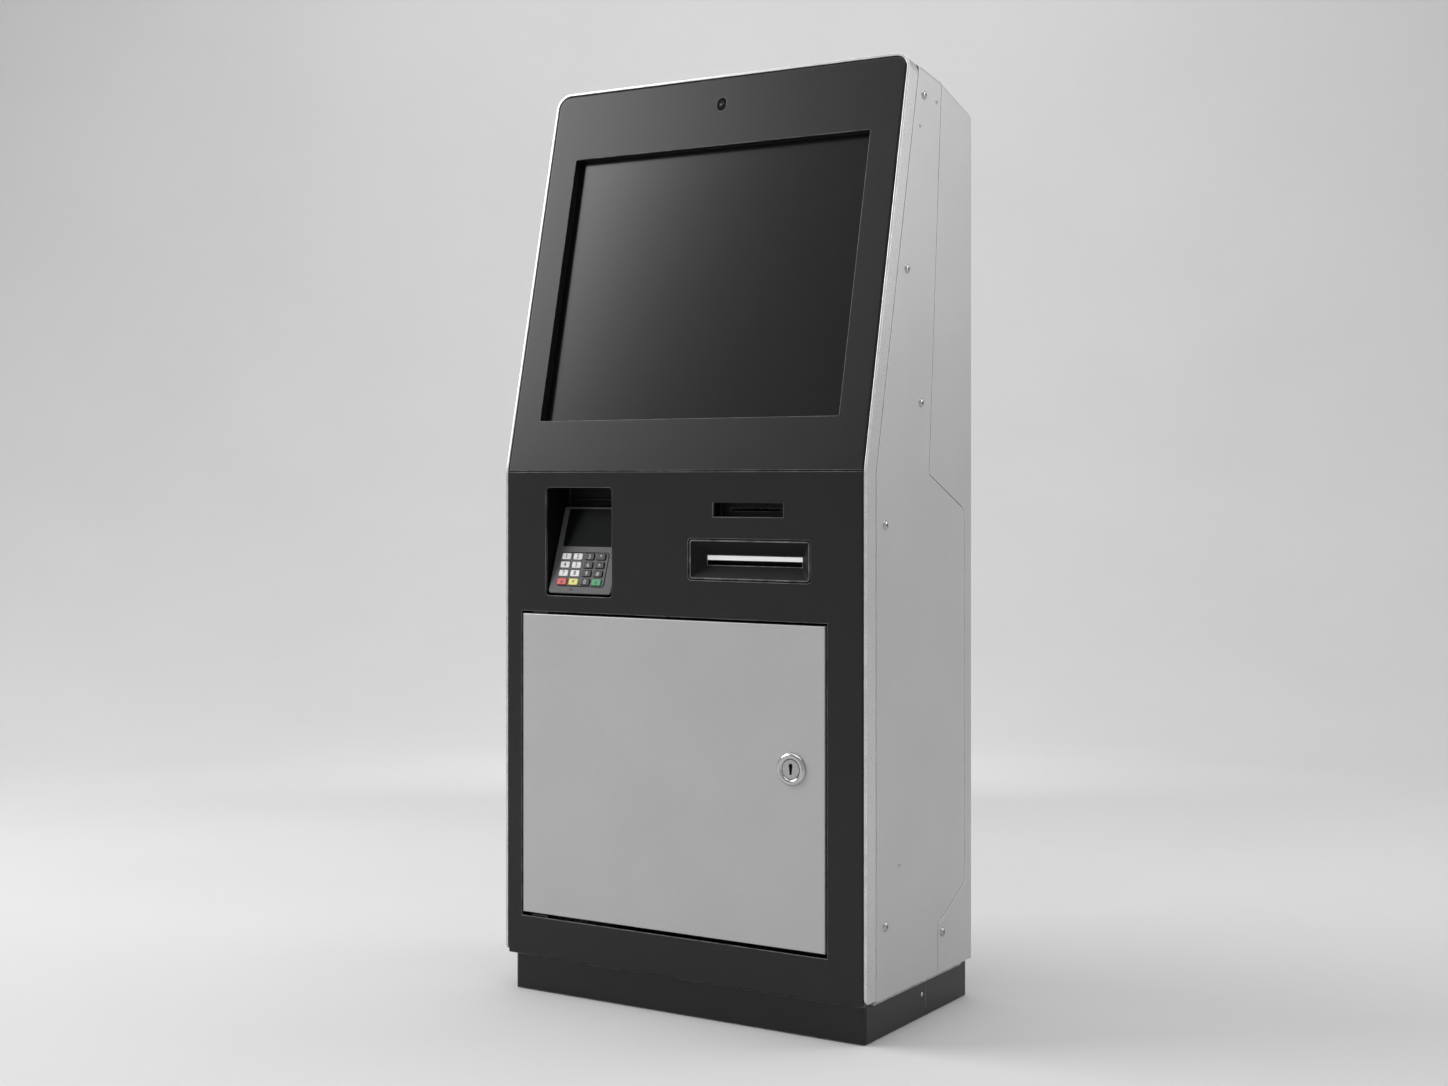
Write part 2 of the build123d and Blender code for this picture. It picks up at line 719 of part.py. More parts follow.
# Upper fascia: folded steel on the lean, its screen opening turned back to the glass
upper_fascia_top = lean_length - band_sheet - seam
with BuildPart() as upper_fascia:
    with BuildSketch(upper_face) as upper_outline:
        with Locations((0, (knee_gap + upper_fascia_top) / 2)):
            Rectangle(fascia_width, upper_fascia_top - knee_gap)
        fillet(upper_outline.vertices().group_by(Axis.Y)[-1], band_corner - band_sheet - seam)
    extrude(amount=-band_depth)
    with BuildSketch(upper_face.offset(-fascia_sheet)) as upper_inside:
        with Locations((0, (knee_gap + upper_fascia_top) / 2)):
            Rectangle(fascia_width - 2 * fascia_sheet, upper_fascia_top - knee_gap - 2 * fascia_sheet)
        fillet(upper_inside.vertices().group_by(Axis.Y)[-1], band_corner - band_sheet - seam - fascia_sheet)
    extrude(amount=-band_depth, mode=Mode.SUBTRACT)
    front_rim = upper_fascia.faces().filter_by(lambda f: f.normal_at().dot(Vector(*lean_normal)) > 0.999)
    fillet(front_rim.sort_by(SortBy.AREA)[-1].outer_wire().edges().sort_by(Axis.Z)[1:], fascia_bend)
    with BuildSketch(upper_face.offset(-fascia_sheet)):
        with Locations((0, screen_along)):
            Rectangle(screen_width + 2 * screen_return, screen_height + 2 * screen_return)
    extrude(amount=fascia_sheet - screen_recess)
    with BuildSketch(upper_face):
        with Locations((0, screen_along)):
            RectangleRounded(screen_width, screen_height, screen_corner)
        with Locations((0, camera_along)):
            SlotOverall(camera_length, camera_width, rotation=90)
    extrude(amount=-screen_recess, mode=Mode.SUBTRACT)
upper_fascia.part.label = "upper_fascia"
export_step(upper_fascia.part, "parts/upper_fascia.step")

# Screen: glass on the fascia's turned-back edge, display panel behind it, bracket on the chassis
glass_width = screen_width + 2 * glass_margin
glass_height = screen_height + 2 * glass_margin
with BuildPart() as touch_glass:
    with BuildSketch(upper_face.offset(-screen_recess)):
        with Locations((0, screen_along)):
            RectangleRounded(glass_width, glass_height, screen_corner)
    extrude(amount=-glass_thick)
touch_glass.part.label = "touch_glass"
export_step(touch_glass.part, "parts/touch_glass.step")

with BuildPart() as display_panel:
    with BuildSketch(upper_face.offset(-screen_recess - glass_thick)):
        with Locations((0, screen_along)):
            Rectangle(glass_width - 2 * panel_margin, glass_height - 2 * panel_margin)
    extrude(amount=-panel_thick)
display_panel.part.label = "display_panel"
export_step(display_panel.part, "parts/display_panel.step")

bracket_front = band_depth - bracket_sheet
bracket_back = screen_recess + glass_thick + panel_thick + bracket_sheet
bracket_width = glass_width + 2 * bracket_sheet + 2 * slide_gap
with BuildPart() as display_bracket:
    with BuildSketch(upper_face.offset(-bracket_front)):
        with Locations((0, screen_along)):
            Rectangle(bracket_width, glass_height)
    extrude(amount=bracket_front - bracket_back)
    with BuildSketch(upper_face.offset(-bracket_front)):
        with Locations((0, screen_along)):
            Rectangle(fascia_width - 2 * fascia_sheet, glass_height)
    extrude(amount=-bracket_sheet)
    with BuildSketch(upper_face.offset(-bracket_front)):
        with Locations((0, screen_along)):
            Rectangle(glass_width + 2 * slide_gap, glass_height)
    extrude(amount=bracket_front + bracket_sheet - bracket_back, mode=Mode.SUBTRACT)
display_bracket.part.label = "display_bracket"
export_step(display_bracket.part, "parts/display_bracket.step")

with BuildPart() as camera_window:
    with BuildSketch(upper_face.offset(-camera_sink)):
        with Locations((0, camera_along)):
            SlotOverall(camera_length - slide_gap, camera_width - slide_gap, rotation=90)
    extrude(amount=camera_sink - fascia_sheet)
    with BuildSketch(upper_face.offset(-fascia_sheet)):
        with Locations((0, camera_along)):
            Rectangle(camera_width + 2 * camera_flange, camera_length + 2 * camera_flange)
    extrude(amount=-camera_block)
camera_window.part.label = "camera_window"
export_step(camera_window.part, "parts/camera_window.step")

# Liner of the PIN recess: a deep tray fixed behind the fascia
with BuildPart() as recess_liner:
    with BuildSketch(lower_face.offset(-fascia_sheet)):
        with Locations((recess_x, recess_z)):
            Rectangle(recess_width + 2 * liner_flange, recess_height + 2 * liner_flange)
    extrude(amount=-recess_sheet)
    with BuildSketch(lower_face.offset(-fascia_sheet)):
        with Locations((recess_x, recess_z)):
            RectangleRounded(
                recess_width + 2 * recess_sheet,
                recess_height + 2 * recess_sheet,
                recess_corner + recess_sheet,
            )
    extrude(amount=fascia_sheet - recess_depth - recess_sheet)
    with BuildSketch(lower_face.offset(-fascia_sheet)):
        with Locations((recess_x, recess_z)):
            RectangleRounded(recess_width, recess_height, recess_corner)
    extrude(amount=fascia_sheet - recess_depth, mode=Mode.SUBTRACT)
recess_liner.part.label = "recess_liner"
export_step(recess_liner.part, "parts/recess_liner.step")

# Payment terminal: its face leans back from the recess's front edge, its back rests on the liner
face_turn = radians(terminal_lean)
terminal_normal = (0, -cos(face_turn), sin(face_turn))
terminal_face = Plane(origin=(0, front_y, terminal_bottom), x_dir=(1, 0, 0), z_dir=terminal_normal)
terminal_top_y = front_y + terminal_length * sin(face_turn)
terminal_top_z = terminal_bottom + terminal_length * cos(face_turn)
terminal_rear_y = front_y + recess_depth
key_hole_width = key_width + 2 * key_gap
key_hole_length = key_length + 2 * key_gap
key_rows = [keypad_along + key_pitch_y * step for step in (1.5, 0.5, -0.5, -1.5)]
key_places = [(keypad_x + column, row) for row in key_rows for column in key_columns]
pocket_depth = keypad_thick - keypad_stand
with BuildPart() as terminal_body:
    with BuildSketch(Plane.YZ.offset(terminal_x - terminal_width / 2)):
        with BuildLine():
            Polyline(
                (front_y, terminal_bottom),
                (terminal_top_y, terminal_top_z),
                (terminal_rear_y, terminal_top_z),
                (terminal_rear_y, terminal_bottom),
                close=True,
            )
        make_face()
    extrude(amount=terminal_width)
    low_edges = terminal_body.edges().filter_by(Axis.Y).sort_by(Axis.Z)[:2]
    fillet(low_edges, terminal_corner)
    face_rim = terminal_body.faces().filter_by(lambda f: f.normal_at().dot(Vector(*terminal_normal)) > 0.999)
    fillet(face_rim[0].edges(), terminal_edge)
    with BuildSketch(terminal_face):
        with Locations((display_x, display_along)):
            Rectangle(display_width, display_length)
    extrude(amount=-display_thick, mode=Mode.SUBTRACT)
    with BuildSketch(terminal_face):
        with Locations((keypad_x, keypad_along)):
            RectangleRounded(keypad_width, keypad_length, keypad_corner)
    extrude(amount=-pocket_depth, mode=Mode.SUBTRACT)
    with BuildSketch(terminal_face.offset(-pocket_depth)):
        with Locations(*key_places):
            Rectangle(key_hole_width, key_hole_length)
    extrude(amount=-key_skirt, mode=Mode.SUBTRACT)
terminal_body.part.label = "terminal_body"
export_step(terminal_body.part, "parts/terminal_body.step")

with BuildPart() as terminal_display:
    with BuildSketch(terminal_face.offset(-display_thick)):
        with Locations((display_x, display_along)):
            Rectangle(display_width, display_length)
    extrude(amount=display_thick - display_sink)
terminal_display.part.label = "terminal_display"
export_step(terminal_display.part, "parts/terminal_display.step")

with BuildPart() as keypad_frame:
    with BuildSketch(terminal_face.offset(-pocket_depth)):
        with Locations((keypad_x, keypad_along)):
            RectangleRounded(
                keypad_width - 2 * keypad_groove,
                keypad_length - 2 * keypad_groove,
                keypad_corner - keypad_groove,
            )
        with Locations(*key_places):
            RectangleRounded(key_hole_width, key_hole_length, key_corner, mode=Mode.SUBTRACT)
    extrude(amount=keypad_thick)
keypad_frame.part.label = "keypad_frame"
export_step(keypad_frame.part, "parts/keypad_frame.step")

for number, place in enumerate(key_places, start=1):
    with BuildPart() as key:
        with BuildSketch(terminal_face.offset(keypad_stand + key_stand)):
            with Locations(place):
                RectangleRounded(key_width, key_length, key_corner)
        extrude(amount=-key_stand - keypad_thick - key_skirt + key_travel + key_gap)
        crown = key.faces().filter_by(lambda f: f.normal_at().dot(Vector(*terminal_normal)) > 0.999)
        fillet(crown[0].edges(), key_corner / 2)
    key.part.label = f"key_{number}"
    export_step(key.part, f"parts/key_{number}.step")

# Receipt slot: a shallow tray behind the fascia with a slit for the paper
receipt_middle = (receipt_x, receipt_z)
with BuildPart() as receipt_liner:
    with BuildSketch(lower_face.offset(-fascia_sheet)):
        with Locations(receipt_middle):
            Rectangle(receipt_width + 2 * liner_flange, receipt_height + liner_flange)
    extrude(amount=-receipt_sheet)
    with BuildSketch(lower_face.offset(-fascia_sheet)):
        with Locations(receipt_middle):
            Rectangle(receipt_width + 2 * receipt_sheet, receipt_height + 2 * receipt_sheet)
    extrude(amount=fascia_sheet - receipt_depth - receipt_sheet)
    with BuildSketch(lower_face.offset(-fascia_sheet)):
        with Locations(receipt_middle):
            Rectangle(receipt_width, receipt_height)
    extrude(amount=fascia_sheet - receipt_depth, mode=Mode.SUBTRACT)
    with BuildSketch(lower_face.offset(-receipt_depth)):
        with Locations(receipt_middle):
            Rectangle(paper_width + paper_slit, paper_slit)
    extrude(amount=-receipt_sheet, mode=Mode.SUBTRACT)
receipt_liner.part.label = "receipt_liner"
export_step(receipt_liner.part, "parts/receipt_liner.step")

# Receipt printer on the upper shelf, with the arm and spindle that carry the paper roll
printer_y = front_y + (printer_front + printer_rear) / 2
roll_y = front_y + roll_depth
roll_z = upper_shelf_top + roll_r + roll_clearance
arm_top = roll_z + 2 * roll_core_r
with BuildPart() as receipt_printer:
    with BuildSketch(Plane.XY.offset(upper_shelf_top)):
        with Locations((receipt_x, printer_y)):
            Rectangle(printer_width, printer_rear - printer_front)
    extrude(amount=printer_height)
    fillet(receipt_printer.edges().filter_by(Axis.X).group_by(Axis.Z)[-1], printer_corner)
    with BuildSketch(Plane.XZ.offset(-front_y - printer_front)):
        with Locations(receipt_middle):
            Rectangle(paper_width + paper_slit, paper_slit)
    extrude(amount=printer_front - printer_rear, mode=Mode.SUBTRACT)
    arm_x = receipt_x + paper_width / 2 + slide_gap + 1
    with BuildSketch(Plane.YZ.offset(arm_x)):
        with Locations((roll_y, (upper_shelf_top + arm_top) / 2)):
            Rectangle(4 * roll_core_r, arm_top - upper_shelf_top)
        with Locations(((roll_y + printer_y) / 2, upper_shelf_top + roll_arm_foot / 2)):
            Rectangle(roll_y - printer_y, roll_arm_foot)
    extrude(amount=roll_arm_sheet)
    with BuildSketch(Plane.YZ.offset(arm_x)):
        with Locations((roll_y, roll_z)):
            Circle(spindle_r)
    extrude(amount=-paper_width - 2)
receipt_printer.part.label = "receipt_printer"
export_step(receipt_printer.part, "parts/receipt_printer.step")

with BuildPart() as paper_roll:
    with BuildSketch(Plane.YZ.offset(receipt_x - paper_width / 2)):
        with Locations((roll_y, roll_z)):
            Circle(roll_r)
            Circle(roll_core_r, mode=Mode.SUBTRACT)
    extrude(amount=paper_width)
paper_roll.part.label = "paper_roll"
export_step(paper_roll.part, "parts/paper_roll.step")

# Banknote bezel: a rimmed funnel down to the note mouth, with a pocket for the light bar above it
cash_middle = (cash_x, cash_z)
bezel_width = cash_width - 2 * cash_gap
bezel_height = cash_height - 2 * cash_gap
bezel_corner = cash_corner - cash_gap + 1
funnel_low = note_mouth_low - 0.6
funnel_high = light_bar_high + 0.6
funnel_z = (funnel_low + funnel_high) / 2
mouth_z = (note_mouth_low + note_mouth_high) / 2
mouth_height = note_mouth_high - note_mouth_low
light_bar_low = note_mouth_high + 0.6
light_bar_z = (light_bar_low + light_bar_high) / 2
shutter_width = note_width + 2 * shutter_overlap
shutter_height = mouth_height + 2 * shutter_overlap
with BuildPart() as cash_bezel:
    with BuildSketch(lower_face.offset(-cash_sink)):
        with Locations(cash_middle):
            RectangleRounded(bezel_width, bezel_height, bezel_corner)
    extrude(amount=cash_sink - cash_body_depth)
    rim = cash_bezel.faces().sort_by(Axis.Y)[0]
    fillet(rim.edges(), cash_rim / 3)
    with BuildSketch(lower_face.offset(-fascia_sheet)):
        with Locations(cash_middle):
            Rectangle(cash_width + 2 * liner_flange, cash_height + 2 * liner_flange)
            Rectangle(bezel_width - 2, bezel_height - 2, mode=Mode.SUBTRACT)
    extrude(amount=-recess_sheet)
    with BuildSketch(lower_face.offset(-cash_sink)):
        with Locations(cash_middle):
            RectangleRounded(bezel_width - 2 * cash_rim, bezel_height - 2 * cash_rim, bezel_corner - cash_rim)
    with BuildSketch(lower_face.offset(-funnel_depth)):
        with Locations((cash_x, funnel_z)):
            RectangleRounded(note_width + 1, funnel_high - funnel_low, 0.5)
    loft(mode=Mode.SUBTRACT)
    with BuildSketch(lower_face.offset(-funnel_depth)):
        with Locations((cash_x, mouth_z)):
            Rectangle(note_width, mouth_height)
    extrude(amount=-cash_body_depth, mode=Mode.SUBTRACT)
    with BuildSketch(lower_face.offset(-funnel_depth)):
        with Locations((cash_x, light_bar_z)):
            Rectangle(note_width, light_bar_high - light_bar_low)
    extrude(amount=-light_bar_depth, mode=Mode.SUBTRACT)
    with BuildSketch(lower_face.offset(-cash_body_depth)):
        for side in (-1, 1):
            guide_x = cash_x + side * (shutter_width / 2 + slide_gap + shutter_thick / 2)
            with Locations((guide_x, mouth_z + shutter_travel / 2)):
                Rectangle(shutter_thick, shutter_height + shutter_travel)
    extrude(amount=-2 * shutter_thick)
    with BuildSketch(lower_face.offset(-cash_body_depth - shutter_thick - 2 * slide_gap)):
        for side in (-1, 1):
            guide_x = cash_x + side * (shutter_width / 2 - shutter_thick / 2)
            with Locations((guide_x, mouth_z + shutter_travel / 2)):
                Rectangle(2 * shutter_thick + 2 * slide_gap, shutter_height + shutter_travel)
    extrude(amount=2 * slide_gap - shutter_thick)
cash_bezel.part.label = "cash_bezel"
export_step(cash_bezel.part, "parts/cash_bezel.step")

with BuildPart() as light_bar:
    with BuildSketch(lower_face.offset(-funnel_depth)):
        with Locations((cash_x, light_bar_z)):
            Rectangle(note_width, light_bar_high - light_bar_low)
    extrude(amount=-light_bar_depth)
light_bar.part.label = "light_bar"
export_step(light_bar.part, "parts/light_bar.step")

with BuildPart() as cash_shutter:
    with BuildSketch(lower_face.offset(-cash_body_depth - slide_gap)):
        with Locations((cash_x, mouth_z)):
            Rectangle(shutter_width, shutter_height)
    extrude(amount=-shutter_thick)
cash_shutter.part.label = "cash_shutter"
export_step(cash_shutter.part, "parts/cash_shutter.step")

# Dispenser: a folded frame on the lower shelf that carries the pair of feed rollers
dispenser_length = dispenser_rear - dispenser_front
dispenser_y = front_y + (dispenser_front + dispenser_rear) / 2
upper_roller_z = mouth_z + roller_nip / 2 + roller_r
lower_roller_z = mouth_z - roller_nip / 2 - roller_r
roller_y = front_y + roller_depth
with BuildPart() as dispenser_frame:
    with BuildSketch(Plane.XY.offset(dispenser_bottom)):
        with Locations((cash_x, dispenser_y)):
            Rectangle(2 * dispenser_side_x, dispenser_length)
    extrude(amount=dispenser_top - dispenser_bottom)
    with BuildSketch(Plane.XY.offset(dispenser_bottom + chassis_sheet)):
        with Locations((cash_x, dispenser_y - chassis_sheet)):
            Rectangle(2 * dispenser_side_x - 2 * chassis_sheet, dispenser_length)
    extrude(amount=dispenser_top, mode=Mode.SUBTRACT)
    with BuildSketch(Plane.XY.offset(dispenser_bottom)):
        with Locations((cash_x, cassette_middle_y)):
            Rectangle(cassette_width - 2 * rail_lip, cassette_length / 2)
    extrude(amount=chassis_sheet, mode=Mode.SUBTRACT)
    with BuildSketch(Plane.YZ):
        with Locations((roller_y, upper_roller_z), (roller_y, lower_roller_z)):
            Circle(roller_shaft_r + running)
    extrude(amount=body_width, mode=Mode.SUBTRACT)
dispenser_frame.part.label = "dispenser_frame"
export_step(dispenser_frame.part, "parts/dispenser_frame.step")

for name, axle_z in (("upper_roller", upper_roller_z), ("lower_roller", lower_roller_z)):
    with BuildPart() as feed_roller:
        shaft_half = dispenser_side_x + roller_shaft_stand
        with BuildSketch(Plane.YZ.offset(cash_x - shaft_half)):
            with Locations((roller_y, axle_z)):
                Circle(roller_shaft_r)
        extrude(amount=2 * shaft_half)
        for step in (-1.5, -0.5, 0.5, 1.5):
            with BuildSketch(Plane.YZ.offset(cash_x + step * roller_tyre_pitch - roller_tyre_width / 2)):
                with Locations((roller_y, axle_z)):
                    Circle(roller_r)
            extrude(amount=roller_tyre_width)
    feed_roller.part.label = name
    export_step(feed_roller.part, f"parts/{name}.step")

# Banknote cassette: a lidded box with a window on top and a pull handle in front
cassette_front_y = front_y + cassette_front
with BuildPart() as note_cassette:
    with BuildSketch(Plane.XY.offset(cassette_bottom)):
        with Locations((cash_x, cassette_middle_y)):
            Rectangle(cassette_width, cassette_length)
    extrude(amount=cassette_height)
    with BuildSketch(Plane.XY.offset(cassette_bottom + cassette_wall)):
        with Locations((cash_x, cassette_middle_y)):
            Rectangle(cassette_width - 2 * cassette_wall, cassette_length - 2 * cassette_wall)
    extrude(amount=cassette_height - 2 * cassette_wall, mode=Mode.SUBTRACT)
    with BuildSketch(Plane.XY.offset(cassette_top - cassette_wall)):
        with Locations((cash_x, cassette_middle_y)):
            Rectangle(cassette_width - 4 * rail_lip, cassette_length / 3)
    extrude(amount=cassette_wall, mode=Mode.SUBTRACT)
    handle_z = cassette_bottom + cassette_height * 0.6
    with BuildSketch(Plane.XY.offset(handle_z)):
        with Locations((cash_x, cassette_front_y - cassette_handle / 2)):
            Rectangle(cassette_width / 2, cassette_handle)
        with Locations((cash_x, cassette_front_y)):
            Rectangle(cassette_width / 2 - 2 * cassette_handle, cassette_handle, mode=Mode.SUBTRACT)
    extrude(amount=cassette_handle)
note_cassette.part.label = "note_cassette"
export_step(note_cassette.part, "parts/note_cassette.step")

# Controller and power supply: vented boxes on the upper shelf
power_left = power_right - power_width
boxes = [
    ("controller_box", controller_left, power_left - power_gap, controller_length, controller_height),
    ("power_supply", power_left, power_right, power_length, power_height),
]
for name, left, right, length, height in boxes:
    middle_x = (left + right) / 2
    middle_depth = body_depth - box_rear_room - length / 2
    width = right - left
    with BuildPart() as vented_box:
        with BuildSketch(Plane.XY.offset(upper_shelf_top)):
            with Locations((middle_x, front_y + middle_depth)):
                Rectangle(width, length)
        extrude(amount=height)
        with BuildSketch(Plane.XY.offset(upper_shelf_top + chassis_sheet)):
            with Locations((middle_x, front_y + middle_depth)):
                Rectangle(width - 2 * chassis_sheet, length - 2 * chassis_sheet)
        extrude(amount=height - 2 * chassis_sheet, mode=Mode.SUBTRACT)
        with BuildSketch(Plane.YZ.offset(-half_width)):
            with Locations((front_y + middle_depth, upper_shelf_top + height / 2)):
                with GridLocations(1, vent_pitch, 1, int(height / vent_pitch / 2)):
                    SlotOverall(length * 0.7, vent_height)
        extrude(amount=body_width, mode=Mode.SUBTRACT)
    vented_box.part.label = name
    export_step(vented_box.part, f"parts/{name}.step")

# Doors: folded steel leaves on two upright pivot pins set in from the hinge edge, with a round lock.
# Each is drawn on the face that it closes, hinge edge at the left.
front_door_right = front_door_left + front_door_width
front_door_top = front_door_bottom + front_door_height
rear_door_top = rear_door_bottom + rear_door_height
front_sides = (front_door_left, front_door_right)
rear_sides = (rear_door_left, rear_door_right)
doors = [
    ("cabinet_door", lower_face, *front_sides, front_door_bottom, front_door_top, front_lock_z),
    ("rear_door", rear_face, *rear_sides, rear_door_bottom, rear_door_top, rear_lock_z),
]
for name, face, left, right, bottom, top, lock_z in doors:
    pivot_x = left + pivot_inset
    out_side = Vector(*face.z_dir)
    with BuildPart() as door:
        with BuildSketch(face):
            with Locations(((left + right) / 2, (bottom + top) / 2)):
                Rectangle(right - left, top - bottom)
        extrude(amount=-door_flange)
        outer_skin = door.faces().filter_by(lambda f: f.normal_at().dot(out_side) > 0.999)
        fillet(outer_skin[0].edges(), door_edge)
        with BuildSketch(face.offset(-door_sheet)):
            with Locations(((left + right) / 2, (bottom + top) / 2)):
                Rectangle(right - left - 2 * door_sheet, top - bottom - 2 * door_sheet)
        extrude(amount=-door_flange, mode=Mode.SUBTRACT)
        with BuildSketch(face):
            with Locations((right - lock_inset, lock_z)):
                Circle(lock_body_r + lock_hole_gap)
        extrude(amount=-door_sheet, mode=Mode.SUBTRACT)
        with BuildSketch(Plane.XY.offset(bottom)):
            with Locations((face.x_dir.X * pivot_x, face.origin.Y - out_side.Y * pivot_back)):
                Circle(pivot_r + running)
        extrude(amount=top - bottom, mode=Mode.SUBTRACT)
    door.part.label = name
    export_step(door.part, f"parts/{name}.step")

# Pivot brackets: an angle behind the opening's edge with a pin into the door's folded edge
with BuildPart() as pivot_brackets:
    for (_, face, left, _, bottom, top, _), sheet in zip(doors, (fascia_sheet, shell_sheet)):
        pivot_x = left + pivot_inset
        pin_place = (face.x_dir.X * pivot_x, face.origin.Y - face.z_dir.Y * pivot_back)
        edges = [(top, 1, top + door_top_gap), (bottom, -1, bottom - door_bottom_gap)]
        for door_edge_z, away, opening_edge_z in edges:
            plate_near = opening_edge_z - away * (pivot_plate + slide_gap)
            tab_end = opening_edge_z + away * pivot_tab
            with BuildSketch(face.offset(-sheet)):
                with Locations((pivot_x, (plate_near + tab_end) / 2)):
                    Rectangle(pivot_width, abs(tab_end - plate_near))
            extrude(amount=-pivot_plate)
            with BuildSketch(face.offset(-sheet)):
                with Locations((pivot_x, plate_near + away * pivot_plate / 2)):
                    Rectangle(pivot_width, pivot_plate)
            extrude(amount=sheet - door_flange)
            with BuildSketch(Plane.XY.offset(plate_near)):
                with Locations(pin_place):
                    Circle(pivot_r)
            extrude(amount=door_edge_z - plate_near - away * 2 * door_sheet)
pivot_brackets.part.label = "pivot_brackets"
export_step(pivot_brackets.part, "parts/pivot_brackets.step")

# Locks: a proud ring with its threaded body and nut, and a plug that carries the cam
for (_, face, _, right, _, _, lock_z), kind in zip(doors, ("cabinet", "rear")):
    lock_place = (right - lock_inset, lock_z)
    keyhole_ends = [
        (lock_place[0], lock_z + keyhole_length / 2 - keyhole_r, keyhole_r),
        (lock_place[0], lock_z - keyhole_length / 2 + keyhole_low_r, keyhole_low_r),
    ]
    with BuildPart() as lock_ring:
        with BuildSketch(face):
            with Locations(lock_place):
                Circle(lock_ring_r)
        extrude(amount=lock_stand)
        out_side = Vector(*face.z_dir)
        ring_face = lock_ring.faces().filter_by(lambda f: f.normal_at().dot(out_side) > 0.999)
        fillet(ring_face[0].edges(), lock_stand * 0.8)
        with BuildSketch(face):
            with Locations(lock_place):
                Circle(lock_body_r)
        extrude(amount=-lock_body_length)
        with BuildSketch(face.offset(-door_sheet)):
            with Locations(lock_place):
                RegularPolygon(lock_body_r + lock_nut, 6)
        extrude(amount=-2 * door_sheet)
        with BuildSketch(face.offset(lock_stand)):
            with Locations(lock_place):
                Circle(lock_plug_r + running)
        extrude(amount=-lock_stand - lock_body_length, mode=Mode.SUBTRACT)
    lock_ring.part.label = f"{kind}_lock_ring"
    export_step(lock_ring.part, f"parts/{kind}_lock_ring.step")

    with BuildPart() as lock_plug:
        with BuildSketch(face.offset(lock_stand - lock_plug_sink)):
            with Locations(lock_place):
                Circle(lock_plug_r)
        extrude(amount=lock_plug_sink - lock_stand - lock_body_length - cam_gap)
        with BuildSketch(face.offset(lock_stand)) as keyhole:
            for x, z, end_r in keyhole_ends:
                with Locations((x, z)):
                    Circle(end_r)
            make_hull()
        extrude(amount=-lock_stand - keyhole_depth, mode=Mode.SUBTRACT)
        with BuildSketch(face.offset(-lock_body_length - cam_gap)):
            with Locations((lock_place[0], lock_place[1] - cam_length / 2 + cam_width / 2)):
                SlotOverall(cam_length + cam_width / 2, cam_width, rotation=90)
        extrude(amount=-cam_thick)
    lock_plug.part.label = f"{kind}_lock_plug"
    export_step(lock_plug.part, f"parts/{kind}_lock_plug.step")

# Fan on the rear cover's inner side: a frame with a spindle on four struts, and its rotor
fan_inner_face = rear_face.offset(-shell_sheet)
rotor_start = 3.0
rotor_depth = fan_depth - fan_strut_thick - rotor_start - 2
with BuildPart() as fan_frame:
    with BuildSketch(fan_inner_face):
        with Locations((0, fan_z)):
            RectangleRounded(fan_size, fan_size, fan_corner)
            Circle(fan_bore_r, mode=Mode.SUBTRACT)
    extrude(amount=-fan_depth)
    with BuildSketch(fan_inner_face.offset(fan_strut_thick - fan_depth)):
        with Locations((0, fan_z)):
            Rectangle(2 * fan_bore_r + 2, fan_strut_width)
            Rectangle(fan_strut_width, 2 * fan_bore_r + 2)
            Circle(fan_hub_r - 2)
    extrude(amount=-fan_strut_thick)
    with BuildSketch(fan_inner_face.offset(fan_strut_thick - fan_depth)):
        with Locations((0, fan_z)):
            Circle(fan_spindle_r)
    extrude(amount=rotor_depth)
fan_frame.part.label = "fan_frame"
export_step(fan_frame.part, "parts/fan_frame.step")

with BuildPart() as fan_rotor:
    with BuildSketch(fan_inner_face.offset(-rotor_start)):
        with Locations((0, fan_z)):
            Circle(fan_hub_r)
    extrude(amount=-rotor_depth)
    blade_length = fan_blade_r - fan_hub_r
    with Locations(fan_inner_face.offset(-rotor_start - rotor_depth / 2)):
        with Locations((0, fan_z)):
            with PolarLocations(fan_hub_r + blade_length / 2 - 1, fan_blades):
                Box(blade_length, 0.8 * rotor_depth, fan_blade_thick, rotation=(fan_blade_turn, 0, 0))
    with BuildSketch(fan_inner_face.offset(-rotor_start - rotor_depth)):
        with Locations((0, fan_z)):
            Circle(fan_spindle_r + running)
    extrude(amount=rotor_depth - fan_hub_floor, mode=Mode.SUBTRACT)
fan_rotor.part.label = "fan_rotor"
export_step(fan_rotor.part, "parts/fan_rotor.step")

# Bush for the mains cable in the inlet plate
with BuildPart() as cable_bush:
    with BuildSketch(inlet_face):
        with Locations((bush_x, bush_z)):
            Circle(bush_flange_r)
    extrude(amount=bush_stand)
    fillet(cable_bush.edges().group_by(Axis.Y)[-1], bush_stand / 2)
    with BuildSketch(inlet_face):
        with Locations((bush_x, bush_z)):
            Circle(bush_body_r)
    extrude(amount=-bush_inside)
    with BuildSketch(inlet_face.offset(bush_stand)):
        with Locations((bush_x, bush_z)):
            Circle(bush_bore_r)
    extrude(amount=-bush_stand - bush_inside, mode=Mode.SUBTRACT)
cable_bush.part.label = "cable_bush"
export_step(cable_bush.part, "parts/cable_bush.step")
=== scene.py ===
import json
from math import cos, pi, radians, sin
import bmesh
import bpy
from mathutils import Matrix, Vector

